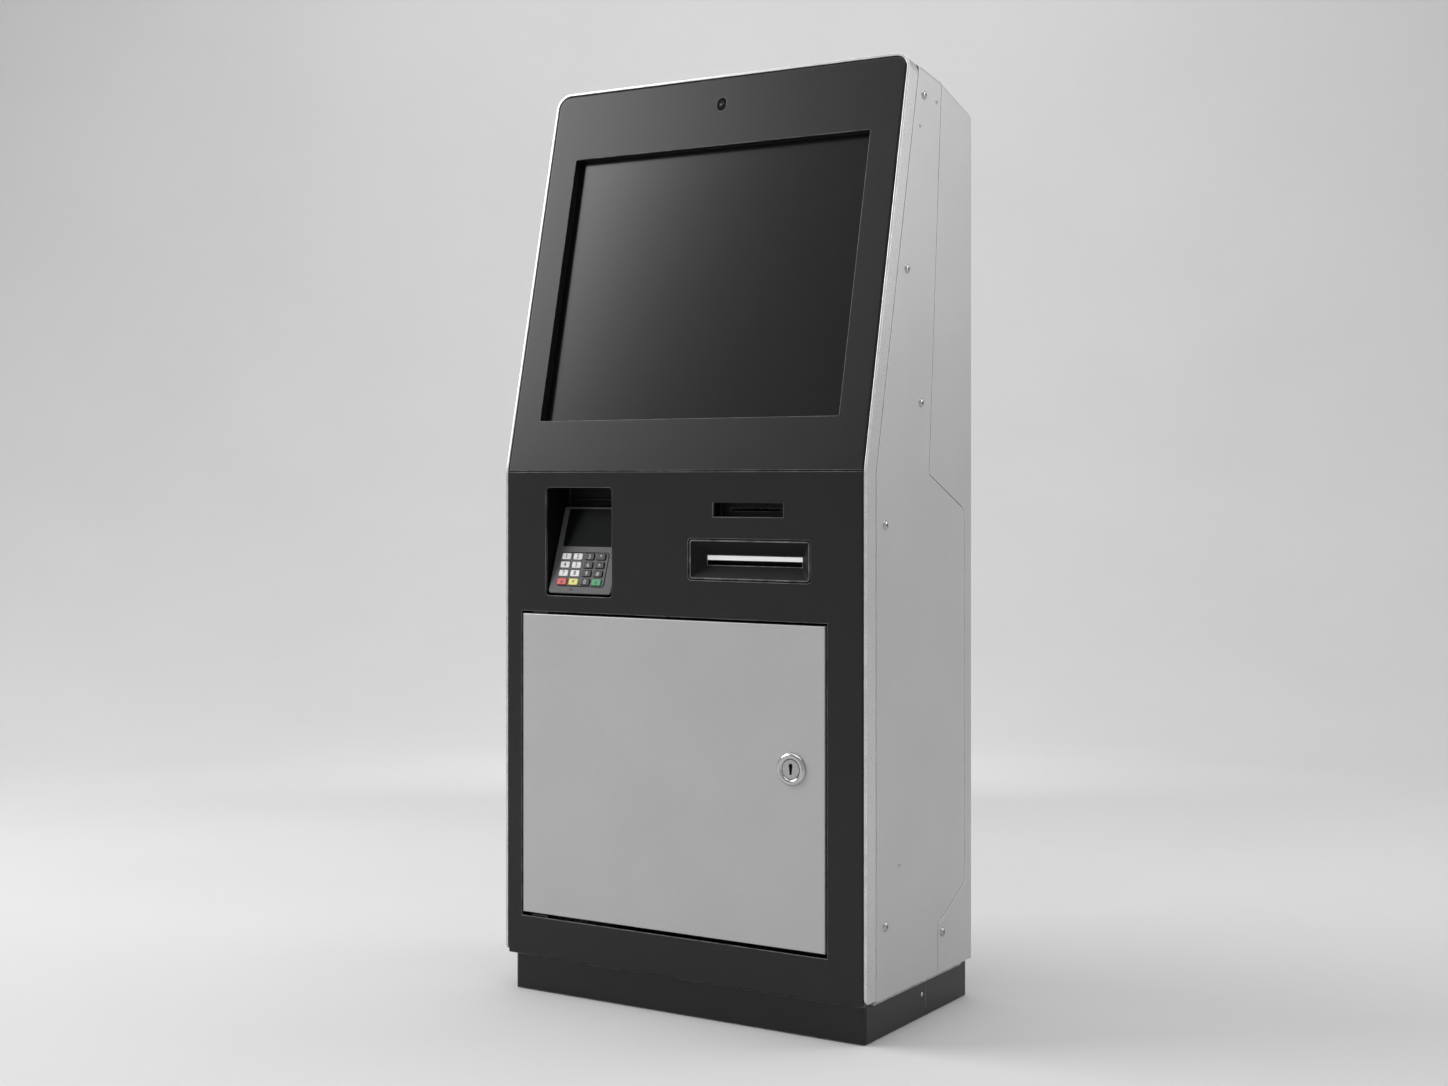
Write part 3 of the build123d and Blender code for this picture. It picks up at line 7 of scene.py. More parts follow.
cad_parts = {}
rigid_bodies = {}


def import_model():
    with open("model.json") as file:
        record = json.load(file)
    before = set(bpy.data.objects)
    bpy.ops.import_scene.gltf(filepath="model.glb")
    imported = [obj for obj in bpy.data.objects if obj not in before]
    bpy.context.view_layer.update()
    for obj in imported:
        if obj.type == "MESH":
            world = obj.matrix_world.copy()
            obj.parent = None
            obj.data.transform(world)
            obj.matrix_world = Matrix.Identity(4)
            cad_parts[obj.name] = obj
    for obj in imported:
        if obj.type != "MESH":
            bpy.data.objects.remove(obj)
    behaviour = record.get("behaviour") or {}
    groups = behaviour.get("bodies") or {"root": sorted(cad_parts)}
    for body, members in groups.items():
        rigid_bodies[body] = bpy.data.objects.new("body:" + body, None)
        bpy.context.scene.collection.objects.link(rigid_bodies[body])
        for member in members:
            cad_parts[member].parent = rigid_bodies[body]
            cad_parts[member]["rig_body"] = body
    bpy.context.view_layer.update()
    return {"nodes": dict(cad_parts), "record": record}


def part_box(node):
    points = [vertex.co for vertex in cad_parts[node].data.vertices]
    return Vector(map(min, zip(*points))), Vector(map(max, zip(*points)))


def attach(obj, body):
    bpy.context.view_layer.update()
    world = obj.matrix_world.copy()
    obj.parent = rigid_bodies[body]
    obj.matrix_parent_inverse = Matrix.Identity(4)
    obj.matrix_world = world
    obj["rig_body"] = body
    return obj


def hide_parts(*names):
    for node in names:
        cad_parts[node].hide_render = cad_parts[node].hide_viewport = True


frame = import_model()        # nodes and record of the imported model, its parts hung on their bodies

scene = bpy.context.scene
scene.view_settings.view_transform = "Standard"
mm = 0.001
nodes = frame["nodes"]
slotOf = {part["node"]: part["material_slot"] for part in frame["record"]["subparts"]}
bodyOf = {name: piece["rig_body"] for name, piece in nodes.items()}
print("frame loaded:", len(nodes), "nodes")

# The camera stands front right of the kiosk, level, a little over half its height
view = {"place": (1.565, -2.5322, 0.764), "turn": (90.0, 0.0, 32.11), "lens": 49.62, "shiftY": -0.0439}
camera = bpy.data.objects.new("camera", bpy.data.cameras.new("camera"))
camera.data.lens = view["lens"]
camera.data.shift_y = view["shiftY"]
camera.location = view["place"]
camera.rotation_euler = [radians(angle) for angle in view["turn"]]
scene.collection.objects.link(camera)
scene.camera = camera

# Places shared by the pieces, in millimetres, as the CAD has them
body = {
    "frontY": -167.5,
    "rearY": 167.5,
    "halfWidth": 306.0,
    "plinthHalfWidth": 297.0,
    "knee": 776.0,
    "lean": 12.78,
    "terminalLow": 596.0,
    "terminalLean": 18.7,
}


def facePlane(across, up, origin):
    # Maps (across, up, out) on a face to the kiosk's own axes, all in metres
    across, up = Vector(across), Vector(up)
    turn = Matrix((across, up, across.cross(up))).transposed().to_4x4()
    return Matrix.Translation(Vector(origin) * mm) @ turn


def leanUp(degrees):
    return (0, sin(radians(degrees)), cos(radians(degrees)))


lowerFace = facePlane((1, 0, 0), (0, 0, 1), (0, body["frontY"], 0))
upperFace = facePlane((1, 0, 0), leanUp(body["lean"]), (0, body["frontY"], body["knee"]))
rearFace = facePlane((-1, 0, 0), (0, 0, 1), (0, body["rearY"], 0))
terminalFace = facePlane((1, 0, 0), leanUp(body["terminalLean"]), (0, body["frontY"], body["terminalLow"]))
rightSide = facePlane((0, 1, 0), (0, 0, 1), (body["halfWidth"], 0, 0))
leftSide = facePlane((0, -1, 0), (0, 0, 1), (-body["halfWidth"], 0, 0))


def shift(x, y, z=0.0):
    return Matrix.Translation(Vector((x, y, z)) * mm)


# Materials
def linear(hexColour):
    parts = [int(hexColour[i:i + 2], 16) / 255 for i in (1, 3, 5)]
    return tuple(p / 12.92 if p <= 0.04045 else ((p + 0.055) / 1.055) ** 2.4 for p in parts) + (1.0,)


def addNode(tree, kind, values=None, links=None, **settings):
    made = tree.nodes.new(kind)
    for key, value in settings.items():
        setattr(made, key, value)
    for key, value in (values or {}).items():
        made.inputs[key].default_value = value
    for key, source in (links or {}).items():
        tree.links.new(source, made.inputs[key])
    return made


# The span of each noise that counts, how patchy the painted highlight and paint thinning on the edges are,
# and the coats' refractive index
patterns = {
    "toneSpan": (0.3, 0.7), "speckSpan": (0.35, 0.65), "roughSpan": (0.3, 0.7), "rubSpan": (0.35, 0.62),
    "leastHighlightAndWear": 0.35, "highlightAndWearPatchSize": 16, "index": 1.5,
}


def noise(tree, size, place, **values):
    # A noise whose features are size millimetres across
    values = {key.capitalize(): value for key, value in values.items()}
    return addNode(
        tree, "ShaderNodeTexNoise", {"Scale": 1 / (size * mm), **values}, {"Vector": place}).outputs["Fac"]


def remapped(tree, value, span, low, high):
    values = {"From Min": span[0], "From Max": span[1], "To Min": low, "To Max": high}
    return addNode(tree, "ShaderNodeMapRange", values, {"Value": value}).outputs["Result"]


def mixed(tree, share, first, second):
    # Each of first and second is a colour or a socket that gives one
    values, links = {}, {0: share}
    for socket, colour in ((6, first), (7, second)):
        (values if isinstance(colour, tuple) else links)[socket] = colour
    return addNode(tree, "ShaderNodeMix", values, links, data_type="RGBA").outputs[2]


def surface(name, look):
    # mottle: slow drift of tone; grain: the texture of the process; edge colour: a lighter colour on the
    # marked bevel strips, a painted highlight and paint thinned by use
    material = bpy.data.materials.new(name)
    material.use_nodes = True
    tree = material.node_tree
    tree.nodes.clear()
    place = addNode(tree, "ShaderNodeTexCoord").outputs["Object"]
    stretch = look.get("stretch", (1, 1, 1))
    drawn = addNode(tree, "ShaderNodeMapping", {"Scale": stretch}, {"Vector": place}).outputs["Vector"]
    mottle = noise(tree, look["mottle"], place, detail=4.0, roughness=0.55)
    if look.get("spangle"):
        size = {"Scale": 1 / (look["spangle"] * mm), "Randomness": 1.0}
        flakes = addNode(tree, "ShaderNodeTexVoronoi", size, {"Vector": place}).outputs["Color"]
        mottle = addNode(tree, "ShaderNodeSeparateColor", None, {"Color": flakes}).outputs["Red"]
    grain = noise(tree, look["grain"], drawn, detail=3.0, roughness=0.6)
    blend = remapped(tree, mottle, patterns["toneSpan"], 0.0, 1.0)
    tone = mixed(tree, blend, linear(look["colour"]), linear(look["shade"]))
    depth = look.get("speck", 0.0)
    speck = remapped(tree, grain, patterns["speckSpan"], 1 - depth, 1 + depth)
    colour = addNode(
        tree, "ShaderNodeVectorMath", None, {0: tone, 1: speck}, operation="MULTIPLY").outputs["Vector"]
    rough = remapped(tree, grain, patterns["roughSpan"], *look["rough"])
    # The marked edges take the lighter edge colour: a painted highlight, partly paint thinned by use
    if look.get("worn"):
        edge = addNode(tree, "ShaderNodeAttribute", attribute_name="edgeHighlightAndWear").outputs["Fac"]
        patchyHighlightAndWear = noise(tree, patterns["highlightAndWearPatchSize"], place, detail=3.0)
        patchyHighlightAndWearShare = remapped(tree, patchyHighlightAndWear, patterns["rubSpan"], patterns["leastHighlightAndWear"], 1.0)
        wear = addNode(tree, "ShaderNodeMath", None, {0: edge, 1: patchyHighlightAndWearShare}, operation="MULTIPLY")
        colour = mixed(tree, wear.outputs["Value"], colour, linear(look["worn"]))
    values = {
        "Metallic": look.get("metallic", 0.0), "IOR": patterns["index"],
        "Specular IOR Level": look.get("specular", 0.5)}
    links = {"Base Color": colour, "Roughness": rough}
    if look.get("height"):
        relief = {"Strength": look["strength"], "Distance": look["height"] * mm}
        links["Normal"] = addNode(tree, "ShaderNodeBump", relief, {"Height": grain}).outputs["Normal"]
    if look.get("glow"):
        values["Emission Strength"] = look["glow"]
        values["Emission Color"] = linear(look["colour"])
    shader = addNode(tree, "ShaderNodeBsdfPrincipled", values, links)
    addNode(tree, "ShaderNodeOutputMaterial", None, {"Surface": shader.outputs["BSDF"]})
    return material


# Each look's edge colour is painted on the bevelled edges: a painted highlight, partly paint thinned by use
looks = {
    # Zinc-coated sheet under silver powder coat: fine orange peel, tiny metal flakes, soft sheen.
    # The real grain is about 0.3 mm; it is drawn at 1.4 mm so that it shows.
    "silverPowderCoat": {
        "colour": "#BEBEBE", "shade": "#BABABB", "mottle": 140, "grain": 1.4, "speck": 0.035,
        "rough": (0.36, 0.46), "height": 0.04, "strength": 0.3, "metallic": 0.5, "worn": "#E6E6E6"},
    # The frame round the front has the same coat, smoother and painted lighter, with still lighter edges: a
    # painted highlight along its bends
    "highlightPaintedPowderCoat": {
        "colour": "#C8C8C8", "shade": "#C3C3C4", "mottle": 140, "grain": 1.4, "speck": 0.03,
        "rough": (0.26, 0.36), "height": 0.03, "strength": 0.3, "metallic": 0.6, "worn": "#FAFAFA"},
    # Steel sheet under black fine-texture powder coat: deep charcoal with a soft highlight
    "blackPowderCoat": {
        "colour": "#161617", "shade": "#131314", "mottle": 70, "grain": 1.2, "speck": 0.08,
        "rough": (0.29, 0.36), "height": 0.04, "strength": 0.3, "specular": 0.38, "worn": "#707073"},
    # Hot-dip galvanised sheet: spangles of 9 mm, each with its own grey
    "galvanisedSheet": {
        "colour": "#8F9295", "shade": "#A9ACAE", "mottle": 30, "spangle": 9, "grain": 1.0,
        "rough": (0.38, 0.6), "metallic": 0.9, "worn": "#C9CBCD"},
    # Zinc-plated turned steel: faint lathe lines, bright satin
    "platedSteel": {
        "colour": "#BDBDBD", "shade": "#AEAEB0", "mottle": 5, "grain": 0.5, "rough": (0.2, 0.34),
        "metallic": 1.0, "worn": "#E2E2E2"},
    # Chromed brass: mirror finish softened by handling
    "chromedBrass": {
        "colour": "#C9C9CA", "shade": "#BEBEC0", "mottle": 8, "grain": 0.7, "rough": (0.1, 0.2),
        "metallic": 1.0, "worn": "#E6E6E6"},
    # Anti-glare tempered glass over a black mask: near black, blurred reflections
    "screenGlass": {
        "colour": "#050506", "shade": "#060607", "mottle": 120, "grain": 20, "rough": (0.21, 0.22),
        "specular": 0.44, "worn": "#2A2A2B"},
    # Polycarbonate window with an anti-reflective coat over a dark display: hardly any shine
    "coatedDisplayWindow": {
        "colour": "#0A0D0E", "shade": "#080A0B", "mottle": 30, "grain": 20, "rough": (0.3, 0.34),
        "specular": 0.04},
    # Moulded ABS with a spark-eroded texture, grey and then black
    "greyAbs": {
        "colour": "#4C4C4E", "shade": "#474749", "mottle": 25, "grain": 0.8, "speck": 0.05,
        "rough": (0.4, 0.55), "height": 0.03, "strength": 0.4, "worn": "#8A8A8C"},
    "blackAbs": {
        "colour": "#0A0A0B", "shade": "#080809", "mottle": 25, "grain": 0.8, "speck": 0.05,
        "rough": (0.5, 0.62), "height": 0.03, "strength": 0.4, "specular": 0.22, "worn": "#8C8C8E"},
    # Opal acrylic lit from behind by a row of lamps
    "litAcrylic": {
        "colour": "#F2F2F0", "shade": "#E9E9E7", "mottle": 12, "grain": 1.0, "rough": (0.3, 0.4),
        "glow": 0.26},
    # Uncoated thermal paper, wound tight
    "thermalPaper": {
        "colour": "#EFEEEA", "shade": "#E6E5E0", "mottle": 6, "grain": 0.3, "speck": 0.03,
        "rough": (0.75, 0.9), "stretch": (0.15, 1, 1), "height": 0.05, "strength": 0.5},
    # Moulded nitrile rubber: matt, dusty
    "nitrileRubber": {
        "colour": "#1A1A1A", "shade": "#242424", "mottle": 9, "grain": 0.7, "speck": 0.1,
        "rough": (0.65, 0.85), "height": 0.05, "strength": 0.5, "worn": "#333333"},
}
keyCaps = {
    "whiteKey": "#E4E4E2", "darkKey": "#121213", "redKey": "#D45450", "yellowKey": "#E2DC7A",
    "greenKey": "#3A9A67",
}
for name, colour in keyCaps.items():
    # Two-shot moulded PBT key cap, lightly textured and shiny where fingers rub
    looks[name] = {
        "colour": colour, "shade": colour, "mottle": 4, "grain": 0.5, "speck": 0.05, "rough": (0.3, 0.5),
        "height": 0.02, "strength": 0.4, "worn": colour}
# Printing ink on the caps: dark on the white and coloured keys, light on the dark ones
ink = {"mottle": 2, "grain": 0.5, "rough": (0.5, 0.6)}
looks["keyInk"] = {"colour": "#1C1C1D", "shade": "#262627", **ink}
looks["keyInkLight"] = {"colour": "#C4C4C4", "shade": "#B8B8B8", **ink}
finish = {name: surface(name, look) for name, look in looks.items()}
finishOfSlot = {
    "silver_paint": "silverPowderCoat", "black_paint": "blackPowderCoat",
    "galvanised_steel": "galvanisedSheet", "plated_steel": "platedSteel", "chrome": "chromedBrass",
    "screen_glass": "screenGlass", "grey_plastic": "greyAbs", "black_plastic": "blackAbs",
    "light_plastic": "litAcrylic", "paper": "thermalPaper", "rubber": "nitrileRubber",
    "white_key": "whiteKey", "dark_key": "darkKey", "red_key": "redKey", "yellow_key": "yellowKey",
    "green_key": "greenKey",
}
lookOf = {node: finishOfSlot[slot] for node, slot in slotOf.items()}
lookOf.update({
    # The front frame takes the lighter coat: a painted highlight
    "front_surround": "highlightPaintedPowderCoat", "camera_window": "coatedDisplayWindow",
    # The PIN recess and receipt slot liners take the darker black ABS: painted shade inside the recesses
    "recess_liner": "blackAbs", "receipt_liner": "blackAbs",
})
print("materials made:", len(finish))


# Tools for making pieces
def turned(profile, steps, closed=True):
    # A profile of (radius, height) in millimetres, turned about the Z axis
    form = bmesh.new()
    corners = [form.verts.new((radius * mm, 0, height * mm)) for radius, height in profile]
    pairs = list(zip(corners, corners[1:])) + ([(corners[-1], corners[0])] if closed else [])
    edges = [form.edges.new(pair) for pair in pairs]
    bmesh.ops.spin(
        form, geom=corners + edges, cent=(0, 0, 0), axis=(0, 0, 1), angle=2 * pi, steps=steps,
        use_merge=True)
    bmesh.ops.remove_doubles(form, verts=form.verts, dist=1e-6)
    bmesh.ops.recalc_face_normals(form, faces=form.faces)
    return form


def softened(form, width, segments=2):
    # Bevels every edge that turns by 30 to 170 degrees and marks the new strips for the lighter edge
    # colour, a painted highlight and paint thinned by use
    sharp, folded = radians(30), radians(170)
    wear = form.faces.layers.float.get("edgeHighlightAndWear") or form.faces.layers.float.new("edgeHighlightAndWear")
    edges = [
        e for e in form.edges
        if len(e.link_faces) == 2 and sharp < e.calc_face_angle(0) < folded]
    made = bmesh.ops.bevel(
        form, geom=edges, offset=width * mm, offset_type="OFFSET", segments=segments, profile=0.5,
        affect="EDGES", material=-1, clamp_overlap=False, loop_slide=True)
    for face in made["faces"]:
        face[wear] = 1.0
    return form


def together(forms):
    whole = bmesh.new()
    for form in forms:
        held = bpy.data.meshes.new("held")
        form.to_mesh(held)
        form.free()
        whole.from_mesh(held)
        bpy.data.meshes.remove(held)
    return whole


def placed(form, matrix):
    bmesh.ops.transform(form, matrix=matrix, verts=form.verts)
    return form


# Faces meet in a crease from this angle on, and large faces pull the normals this much
shading = {"sharp": 48, "faceWeight": 80}


def makePiece(name, form, rides, look, replaces=()):
    mesh = bpy.data.meshes.new(name)
    form.to_mesh(mesh)
    form.free()
    mesh.shade_smooth()
    mesh.set_sharp_from_angle(angle=radians(shading["sharp"]))
    mesh.materials.append(finish[look])
    piece = bpy.data.objects.new(name, mesh)
    scene.collection.objects.link(piece)
    weighted = piece.modifiers.new("flatFaces", "WEIGHTED_NORMAL")
    weighted.keep_sharp = True
    weighted.weight = shading["faceWeight"]
    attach(piece, rides)
    if replaces:
        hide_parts(*replaces)
    return piece


def camel(node):
    first, *rest = node.split("_")
    return first + "".join(word.capitalize() for word in rest)


# Sheet parts and mouldings: the CAD shape with its edges broken, as folding, cutting and moulding leave
# them, by the width given in millimetres
edgeWidths = {
    "outer_shell": 0.5, "rear_cover": 0.5, "front_surround": 0.9, "upper_fascia": 0.8,
    "lower_fascia": 0.8, "cabinet_door": 0.4, "rear_door": 0.4, "inlet_plate": 0.3, "recess_liner": 0.4,
    "receipt_liner": 0.3, "plinth_front": 0.8, "plinth_rear": 0.8, "cash_bezel": 0.3,
    "terminal_body": 0.5, "keypad_frame": 0.25, "touch_glass": 0.8, "camera_window": 0.3,
    "light_bar": 0.5, "cash_shutter": 0.3, "note_cassette": 1.0, "dispenser_frame": 0.4,
    "lower_shelf": 0.4, "upper_shelf": 0.4, "chassis_left": 0.4, "chassis_right": 0.4,
    "base_frame": 0.5, "display_bracket": 0.4, "display_panel": 1.0, "controller_box": 0.5,
    "power_supply": 0.5, "receipt_printer": 0.6, "pivot_brackets": 0.3, "fan_frame": 0.5,
    "cable_bush": 0.3, "paper_roll": 0.2, "upper_roller": 0.6, "lower_roller": 0.6,
    "cabinet_lock_plug": 0.25, "rear_lock_plug": 0.25,
}
edgeWidths.update({f"key_{number}": 0.3 for number in range(1, 17)})

# A flat ring has no single outline, so the pieces that have one keep their triangles
ringFaced = ("cash_bezel", "fan_frame")
flatWithin = radians(0.3)
weld = 0.002
overshoot = 1.0
# The flat front ring of the cash bezel takes the lighter edge colour as well: a painted highlight
bezelRimHighlight = {"depth": 0.3, "wear": 0.75}


def edgedCopy(node, width):
    form = bmesh.new()
    form.from_mesh(nodes[node].data)
    bmesh.ops.remove_doubles(form, verts=form.verts, dist=weld * mm)
    if node not in ringFaced:
        bmesh.ops.dissolve_limit(
            form, angle_limit=flatWithin, verts=form.verts, edges=form.edges, delimit=set())
    softened(form, width)
    # A bevel at a sliver of a corner can shoot off, and such a corner comes back to its part's own box
    low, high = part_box(node)
    for vert in form.verts:
        held = Vector([min(max(at, least), most) for at, least, most in zip(vert.co, low, high)])
        if (held - vert.co).length > overshoot * mm:
            vert.co = held
    # Painted highlight on the cash bezel's front ring
    if node == "cash_bezel":
        wear = form.faces.layers.float["edgeHighlightAndWear"]
        front = min(v.co.y for v in form.verts) + bezelRimHighlight["depth"] * mm
        for face in form.faces:
            if face.calc_center_median().y < front:
                face[wear] = bezelRimHighlight["wear"]
    makePiece(camel(node), form, bodyOf[node], lookOf[node], (node,))


for node, width in edgeWidths.items():
    edgedCopy(node, width)
print("sheet parts and mouldings:", len(edgeWidths))

# Screws on both sides: button heads with a hexagon socket, at (depth from the front, height) in millimetres
screws = {
    "dome": [(120, 1057), (163.5, 872), (172.6, 1307), (55.5, 701.6), (55.2, 154.3), (232, 113.7)],
    "small": [(213, 1303), (161, 1262), (96.3, 232.3)],
    "plinth": [(184.2, 33.1)],
    "domeProfile": [
        (2.3, -0.4), (2.3, 2.55), (2.65, 2.93), (3.6, 2.84), (4.9, 2.4), (5.9, 1.6), (6.5, 0.75),
        (6.8, 0.1), (6.8, -0.4)],
    "socketProfile": [(0, 0.9), (2.25, 0.9), (2.25, 2.45), (2.8, 2.45), (2.8, 0.2), (0, 0.2)],
    "smallSize": (0.47, 0.47, 0.4), "round": 32, "hexagon": 6,
}
fullSize, smallSize = Matrix.Identity(4), Matrix.Diagonal((*screws["smallSize"], 1.0))
plinthOut = body["plinthHalfWidth"] - body["halfWidth"]
screwSpots = [(spot, 0, fullSize) for spot in screws["dome"]]
screwSpots += [(spot, 0, smallSize) for spot in screws["small"]]
screwSpots += [(spot, plinthOut, smallSize) for spot in screws["plinth"]]
screwForms = []
for side, sign in ((rightSide, 1), (leftSide, -1)):
    for (depth, height), out, size in screwSpots:
        place = side @ shift(sign * (body["frontY"] + depth), height, out) @ size
        screwForms.append(placed(turned(screws["domeProfile"], screws["round"]), place))
        screwForms.append(placed(turned(screws["socketProfile"], screws["hexagon"]), place))
makePiece("bodyScrews", together(screwForms), "kiosk", "platedSteel", ("body_screws",))

# Locks: a rounded chrome ring with a threaded sleeve and a hexagon nut; a dark disc inside the plug is
# painted shade, seen through the keyhole
lock = {
    "ring": [
        (13.6, 0), (13.6, 1.4), (14.3, 2.9), (15.6, 4.2), (17.4, 4.9), (19.2, 4.8), (21.0, 3.9),
        (22.3, 2.5), (23.0, 0.8), (23.0, 0.0), (16.5, 0.0), (16.5, -5.0)],
    "threadStart": -5.0, "threadRoot": 15.9, "threadTop": 16.5, "threadPitch": 1.5, "threads": 9,
    "sleeveBore": 13.6, "sleeveLow": -19.0,
    "nut": [(15.8, -2.6), (19.5, -2.6), (19.5, -7.4), (15.8, -7.4)], "nutEdge": 0.5,
    "keyWay": [(0, -0.6), (9.5, -0.6), (9.5, -1.6), (0, -1.6)],
    "round": 72, "hexagon": 6, "keyWaySteps": 32,
}
lockSpots = {
    "cabinet": (lowerFace, 190.2, 367.0, "cabinet_door", "cabinet_lock_plug"),
    "rear": (rearFace, 177.9, 370.0, "rear_door", "rear_lock_plug"),
}
for kind, (face, across, up, door, plug) in lockSpots.items():
    profile = list(lock["ring"])
    for turn in range(lock["threads"]):
        low = lock["threadStart"] - lock["threadPitch"] * (turn + 0.5)
        profile += [(lock["threadRoot"], low), (lock["threadTop"], low - lock["threadPitch"] / 2)]
    profile += [(lock["threadTop"], lock["sleeveLow"]), (lock["sleeveBore"], lock["sleeveLow"])]
    place = face @ shift(across, up)
    ring = placed(turned(profile, lock["round"]), place)
    nut = placed(softened(turned(lock["nut"], lock["hexagon"]), lock["nutEdge"]), place)
    makePiece(
        f"{kind}LockRing", together([ring, nut]), door, "chromedBrass", (f"{kind}_lock_ring",))
    # Behind the keyhole, a dark disc: painted shade
    keyWay = placed(turned(lock["keyWay"], lock["keyWaySteps"]), place)
    makePiece(f"{kind}KeyholeShade", keyWay, plug, "blackAbs")
print("screws and locks")

# Camera: a small lens behind its oblong window
lens = {
    "along": 554.4, "round": 40,
    "barrel": [(3.2, -1.6), (3.2, -0.75), (3.7, -0.35), (4.6, -0.45), (5.0, -1.0), (5.0, -1.6)],
    "glass": [(0, -0.55), (1.2, -0.62), (2.3, -0.85), (3.2, -1.25), (3.2, -1.6), (0, -1.6)],
}
lensPlace = upperFace @ shift(0, lens["along"])
barrel = placed(turned(lens["barrel"], lens["round"]), lensPlace)
makePiece("cameraBarrel", barrel, "kiosk", "blackAbs")
glass = placed(turned(lens["glass"], lens["round"]), lensPlace)
makePiece("cameraLens", glass, "kiosk", "screenGlass")


# Key legends: plain digits and signs, printed on the caps
keypad = {
    "legends": ["1", "2", "3", "*", "4", "5", "6", "+", "7", "8", "9", "#", "x", "<", "0", "o"],
    "size": 9.0, "stand": 0.02, "halfThick": 0.06, "bolder": 0.12,
}


def legend(name, text, matrix, rides, look):
    curve = bpy.data.curves.new(name + "Curve", "FONT")
    curve.body = text
    curve.size = keypad["size"] * mm
    curve.align_x = "CENTER"
    curve.align_y = "CENTER"
    curve.extrude = keypad["halfThick"] * mm
    curve.offset = keypad["bolder"] * mm
    curve.resolution_u = 4
    words = bpy.data.objects.new(name + "Words", curve)
    scene.collection.objects.link(words)
    bpy.context.view_layer.update()
    flat = bpy.data.meshes.new_from_object(words)
    bpy.data.objects.remove(words)
    form = bmesh.new()
    form.from_mesh(flat)
    bpy.data.meshes.remove(flat)
    bmesh.ops.remove_doubles(form, verts=form.verts, dist=1e-7)
    return makePiece(name, placed(form, matrix), rides, look)


terminalTurn = terminalFace.to_3x3().to_4x4()
outOfKey = terminalTurn @ Vector((0, 0, 1))
for number, text in enumerate(keypad["legends"], start=1):
    node = f"key_{number}"
    low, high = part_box(node)
    middle = (low + high) / 2
    capTop = max(v.co.dot(outOfKey) for v in nodes[node].data.vertices)
    top = middle + outOfKey * (capTop - middle.dot(outOfKey) + keypad["stand"] * mm)
    inkLook = "keyInkLight" if slotOf[node] == "dark_key" else "keyInk"
    legend(f"key{number}Legend", text, Matrix.Translation(top) @ terminalTurn, node, inkLook)
print("camera and key legends")

# Terminal display: one black window over the display and its frame, set into the terminal; over the frame
# it is painted shade, black where the top of the terminal lies in the recess's shadow
window = {
    "width": 91.0, "low": 72.5, "high": 131.0, "corner": 3.0, "cornerSteps": 5, "thick": 2.6,
    "stand": 0.25, "edge": 0.35,
}
form = bmesh.new()
bmesh.ops.create_grid(form, x_segments=1, y_segments=1, size=0.5 * mm)
bmesh.ops.scale(form, vec=(window["width"], window["high"] - window["low"], 1), verts=form.verts)
bmesh.ops.bevel(
    form, geom=form.verts[:], offset=window["corner"] * mm, offset_type="OFFSET",
    segments=window["cornerSteps"], profile=0.5, affect="VERTICES", material=-1)
bmesh.ops.solidify(form, geom=form.faces[:], thickness=window["thick"] * mm)
bmesh.ops.recalc_face_normals(form, faces=form.faces)
softened(form, window["edge"])
top = max(v.co.z for v in form.verts) / mm
displayX = sum(corner.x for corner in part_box("terminal_display")) / 2 / mm
place = terminalFace @ shift(displayX, (window["low"] + window["high"]) / 2, window["stand"] - top)
makePiece(
    "displayWindow", placed(form, place), "kiosk", "coatedDisplayWindow",
    ("terminal_display",))

# PIN recess: two half-round ribs across its back wall, and an arrow pressed in below the keys
recess = {
    "ribX": (-244.0, -115.0), "ribZ": (734.4, 727.6), "ribRadius": 1.4, "ribSides": 16, "backDepth": 57.0,
    "arrow": [(-2.6, 1.1), (2.6, 1.1), (0.0, -1.5)], "arrowAt": (-186.5, 6.2), "arrowThick": 0.3,
}
ribs = []
for height in recess["ribZ"]:
    rib = bmesh.new()
    bmesh.ops.create_circle(
        rib, cap_ends=True, radius=recess["ribRadius"] * mm, segments=recess["ribSides"])
    grown = bmesh.ops.extrude_face_region(rib, geom=rib.faces[:])
    tips = [v for v in grown["geom"] if isinstance(v, bmesh.types.BMVert)]
    left, right = recess["ribX"]
    bmesh.ops.translate(rib, verts=tips, vec=(0, 0, (right - left) * mm))
    bmesh.ops.recalc_face_normals(rib, faces=rib.faces)
    across = shift(left, body["frontY"] + recess["backDepth"], height) @ Matrix.Rotation(pi / 2, 4, "Y")
    ribs.append(placed(rib, across))
makePiece("recessRibs", together(ribs), "kiosk", "blackPowderCoat")
arrow = bmesh.new()
arrow.faces.new([arrow.verts.new((x * mm, y * mm, 0)) for x, y in recess["arrow"]])
bmesh.ops.solidify(arrow, geom=arrow.faces[:], thickness=recess["arrowThick"] * mm)
bmesh.ops.recalc_face_normals(arrow, faces=arrow.faces)
arrow = placed(arrow, terminalFace @ shift(*recess["arrowAt"]))
makePiece("slotArrow", arrow, "kiosk", "blackAbs")

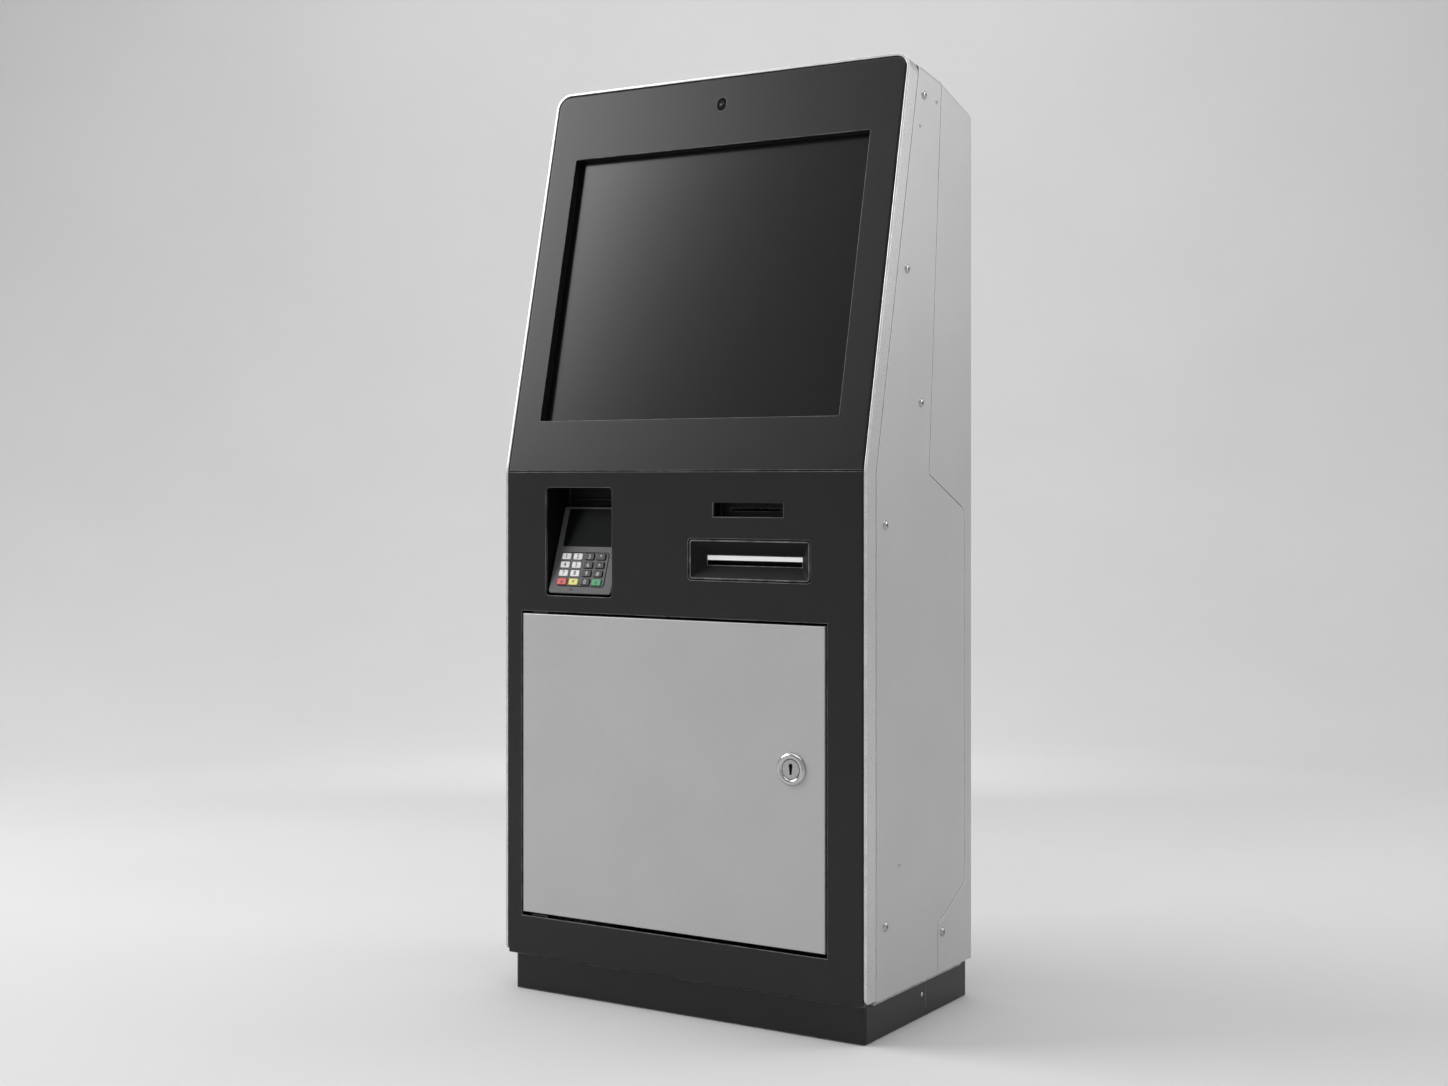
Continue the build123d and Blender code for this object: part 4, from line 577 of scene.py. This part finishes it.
# Door seals: foam rubber strips inside the folded edges
seal = {"inset": 13.0, "width": 9.0, "thick": 6.0, "behind": 2.6, "round": 2.0, "roundSteps": 3}
for door, face in (("cabinet_door", lowerFace), ("rear_door", rearFace)):
    low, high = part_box(door)
    across, up = (high.x - low.x) / mm, (high.z - low.z) / mm
    middle = (low.x + high.x) / 2 / mm * (1 if door == "cabinet_door" else -1)
    form = bmesh.new()
    bmesh.ops.create_grid(form, x_segments=1, y_segments=1, size=0.5 * mm)
    size = (across - 2 * seal["inset"], up - 2 * seal["inset"], 1)
    bmesh.ops.scale(form, vec=size, verts=form.verts)
    bmesh.ops.inset_region(form, faces=form.faces[:], thickness=seal["width"] * mm, use_boundary=True)
    middleFace = max(form.faces, key=lambda f: f.calc_area())
    bmesh.ops.delete(form, geom=[middleFace], context="FACES")
    bmesh.ops.solidify(form, geom=form.faces[:], thickness=seal["thick"] * mm)
    bmesh.ops.recalc_face_normals(form, faces=form.faces)
    softened(form, seal["round"], seal["roundSteps"])
    heights = [v.co.z for v in form.verts]
    place = face @ shift(middle, (low.z + high.z) / 2 / mm, -seal["behind"] - max(heights) / mm)
    makePiece(camel(door) + "Seal", placed(form, place), bodyOf[door], "nitrileRubber")

# Fan rotor: a dished hub with seven twisted blades
fan = {
    "height": 1080.0, "blades": 7, "bladeLength": 33.0, "bladeDepth": 15.0, "bladeThick": 1.4,
    "bladeOut": -13.5, "sunk": 1.0, "rootPitch": 48, "tipPitch": 28, "hubRadius": 20.0, "hubSteps": 40,
    "hub": [
        (3.2, -21.5), (3.2, -8.0), (0, -7.6), (0, -5.4), (14.0, -5.3), (18.2, -6.0), (20.0, -7.6),
        (20.0, -21.5)],
}
blades = [turned(fan["hub"], fan["hubSteps"])]
for step in range(fan["blades"]):
    blade = bmesh.new()
    bmesh.ops.create_grid(blade, x_segments=8, y_segments=4, size=0.5)
    bmesh.ops.scale(blade, vec=(fan["bladeLength"] * mm, fan["bladeDepth"] * mm, 1), verts=blade.verts)
    for vert in blade.verts:
        share = vert.co.x / (fan["bladeLength"] * mm) + 0.5
        pitch = radians(fan["rootPitch"] + (fan["tipPitch"] - fan["rootPitch"]) * share)
        twist = Matrix.Rotation(pitch, 3, "X")
        bmesh.ops.rotate(blade, cent=(vert.co.x, 0, 0), matrix=twist, verts=[vert])
    bmesh.ops.solidify(blade, geom=blade.faces[:], thickness=fan["bladeThick"] * mm)
    bmesh.ops.recalc_face_normals(blade, faces=blade.faces)
    reach = fan["hubRadius"] + fan["bladeLength"] / 2 - fan["sunk"]
    turn = Matrix.Rotation(2 * pi * step / fan["blades"], 4, "Z")
    blades.append(placed(blade, turn @ shift(reach, 0, fan["bladeOut"])))
rotor = placed(together(blades), rearFace @ shift(0, fan["height"]))
makePiece("fanRotor", rotor, "fan_rotor", "blackAbs", ("fan_rotor",))
print("seals and fan")

# Studio: a pale floor that curves up into a round backdrop, in metres
studio = {
    "floor": 2.8, "bend": 2.6, "bendSteps": 16, "wall": 1.8, "steps": 96, "air": "#E4E4E4", "airPower": 0.5,
}
profile = [(0, 0), (studio["floor"] / mm, 0)]
for step in range(1, studio["bendSteps"] + 1):
    angle = radians(90 * step / studio["bendSteps"])
    reach = studio["floor"] + studio["bend"] * sin(angle)
    profile.append((reach / mm, studio["bend"] * (1 - cos(angle)) / mm))
profile.append((profile[-1][0], (studio["bend"] + studio["wall"]) / mm))
form = turned(profile, studio["steps"], closed=False)
bmesh.ops.reverse_faces(form, faces=form.faces)
mesh = bpy.data.meshes.new("studioFloor")
form.to_mesh(mesh)
form.free()
mesh.shade_smooth()
# Matt painted cove
mesh.materials.append(surface("mattCovePaint", {
    "colour": "#D6D6D6", "shade": "#D3D3D3", "mottle": 600, "grain": 4, "rough": (0.75, 0.85)}))
floor = bpy.data.objects.new("studioFloor", mesh)
scene.collection.objects.link(floor)

# Soft boxes: places and sizes in metres, power in watts
lamps = {
    "keyLeft": {"at": (-3.15, -1.57, 2.82), "aim": (0, 0, 1.0), "size": (2.6, 2.0), "power": 115},
    "topSoft": {"at": (0.2, -0.2, 3.6), "aim": (0, 0, 0), "size": (3.5, 3.5), "power": 52},
    "rightRear": {"at": (3.0, 2.2, 2.2), "aim": (0.3, 0, 0.8), "size": (2.0, 2.0), "power": 40},
    "wallWash": {"at": (-1.9, 3.1, 3.4), "aim": (-2.9, 4.8, 2.3), "size": (3.0, 1.0), "power": 16},
    "lowWash": {"at": (-0.9, 1.5, 1.1), "aim": (-2.9, 4.8, 1.2), "size": (1.4, 0.9), "power": 11},
}
for name, lamp in lamps.items():
    light = bpy.data.lights.new(name, "AREA")
    light.shape = "RECTANGLE"
    light.size, light.size_y = lamp["size"]
    light.energy = lamp["power"]
    holder = bpy.data.objects.new(name, light)
    holder.location = lamp["at"]
    holder.rotation_euler = (Vector(lamp["aim"]) - Vector(lamp["at"])).to_track_quat("-Z", "Y").to_euler()
    holder.visible_camera = False
    scene.collection.objects.link(holder)
world = bpy.data.worlds.new("studioAir")
world.use_nodes = True
background = world.node_tree.nodes["Background"]
background.inputs["Color"].default_value = linear(studio["air"])
background.inputs["Strength"].default_value = studio["airPower"]
scene.world = world
print("studio and lights")
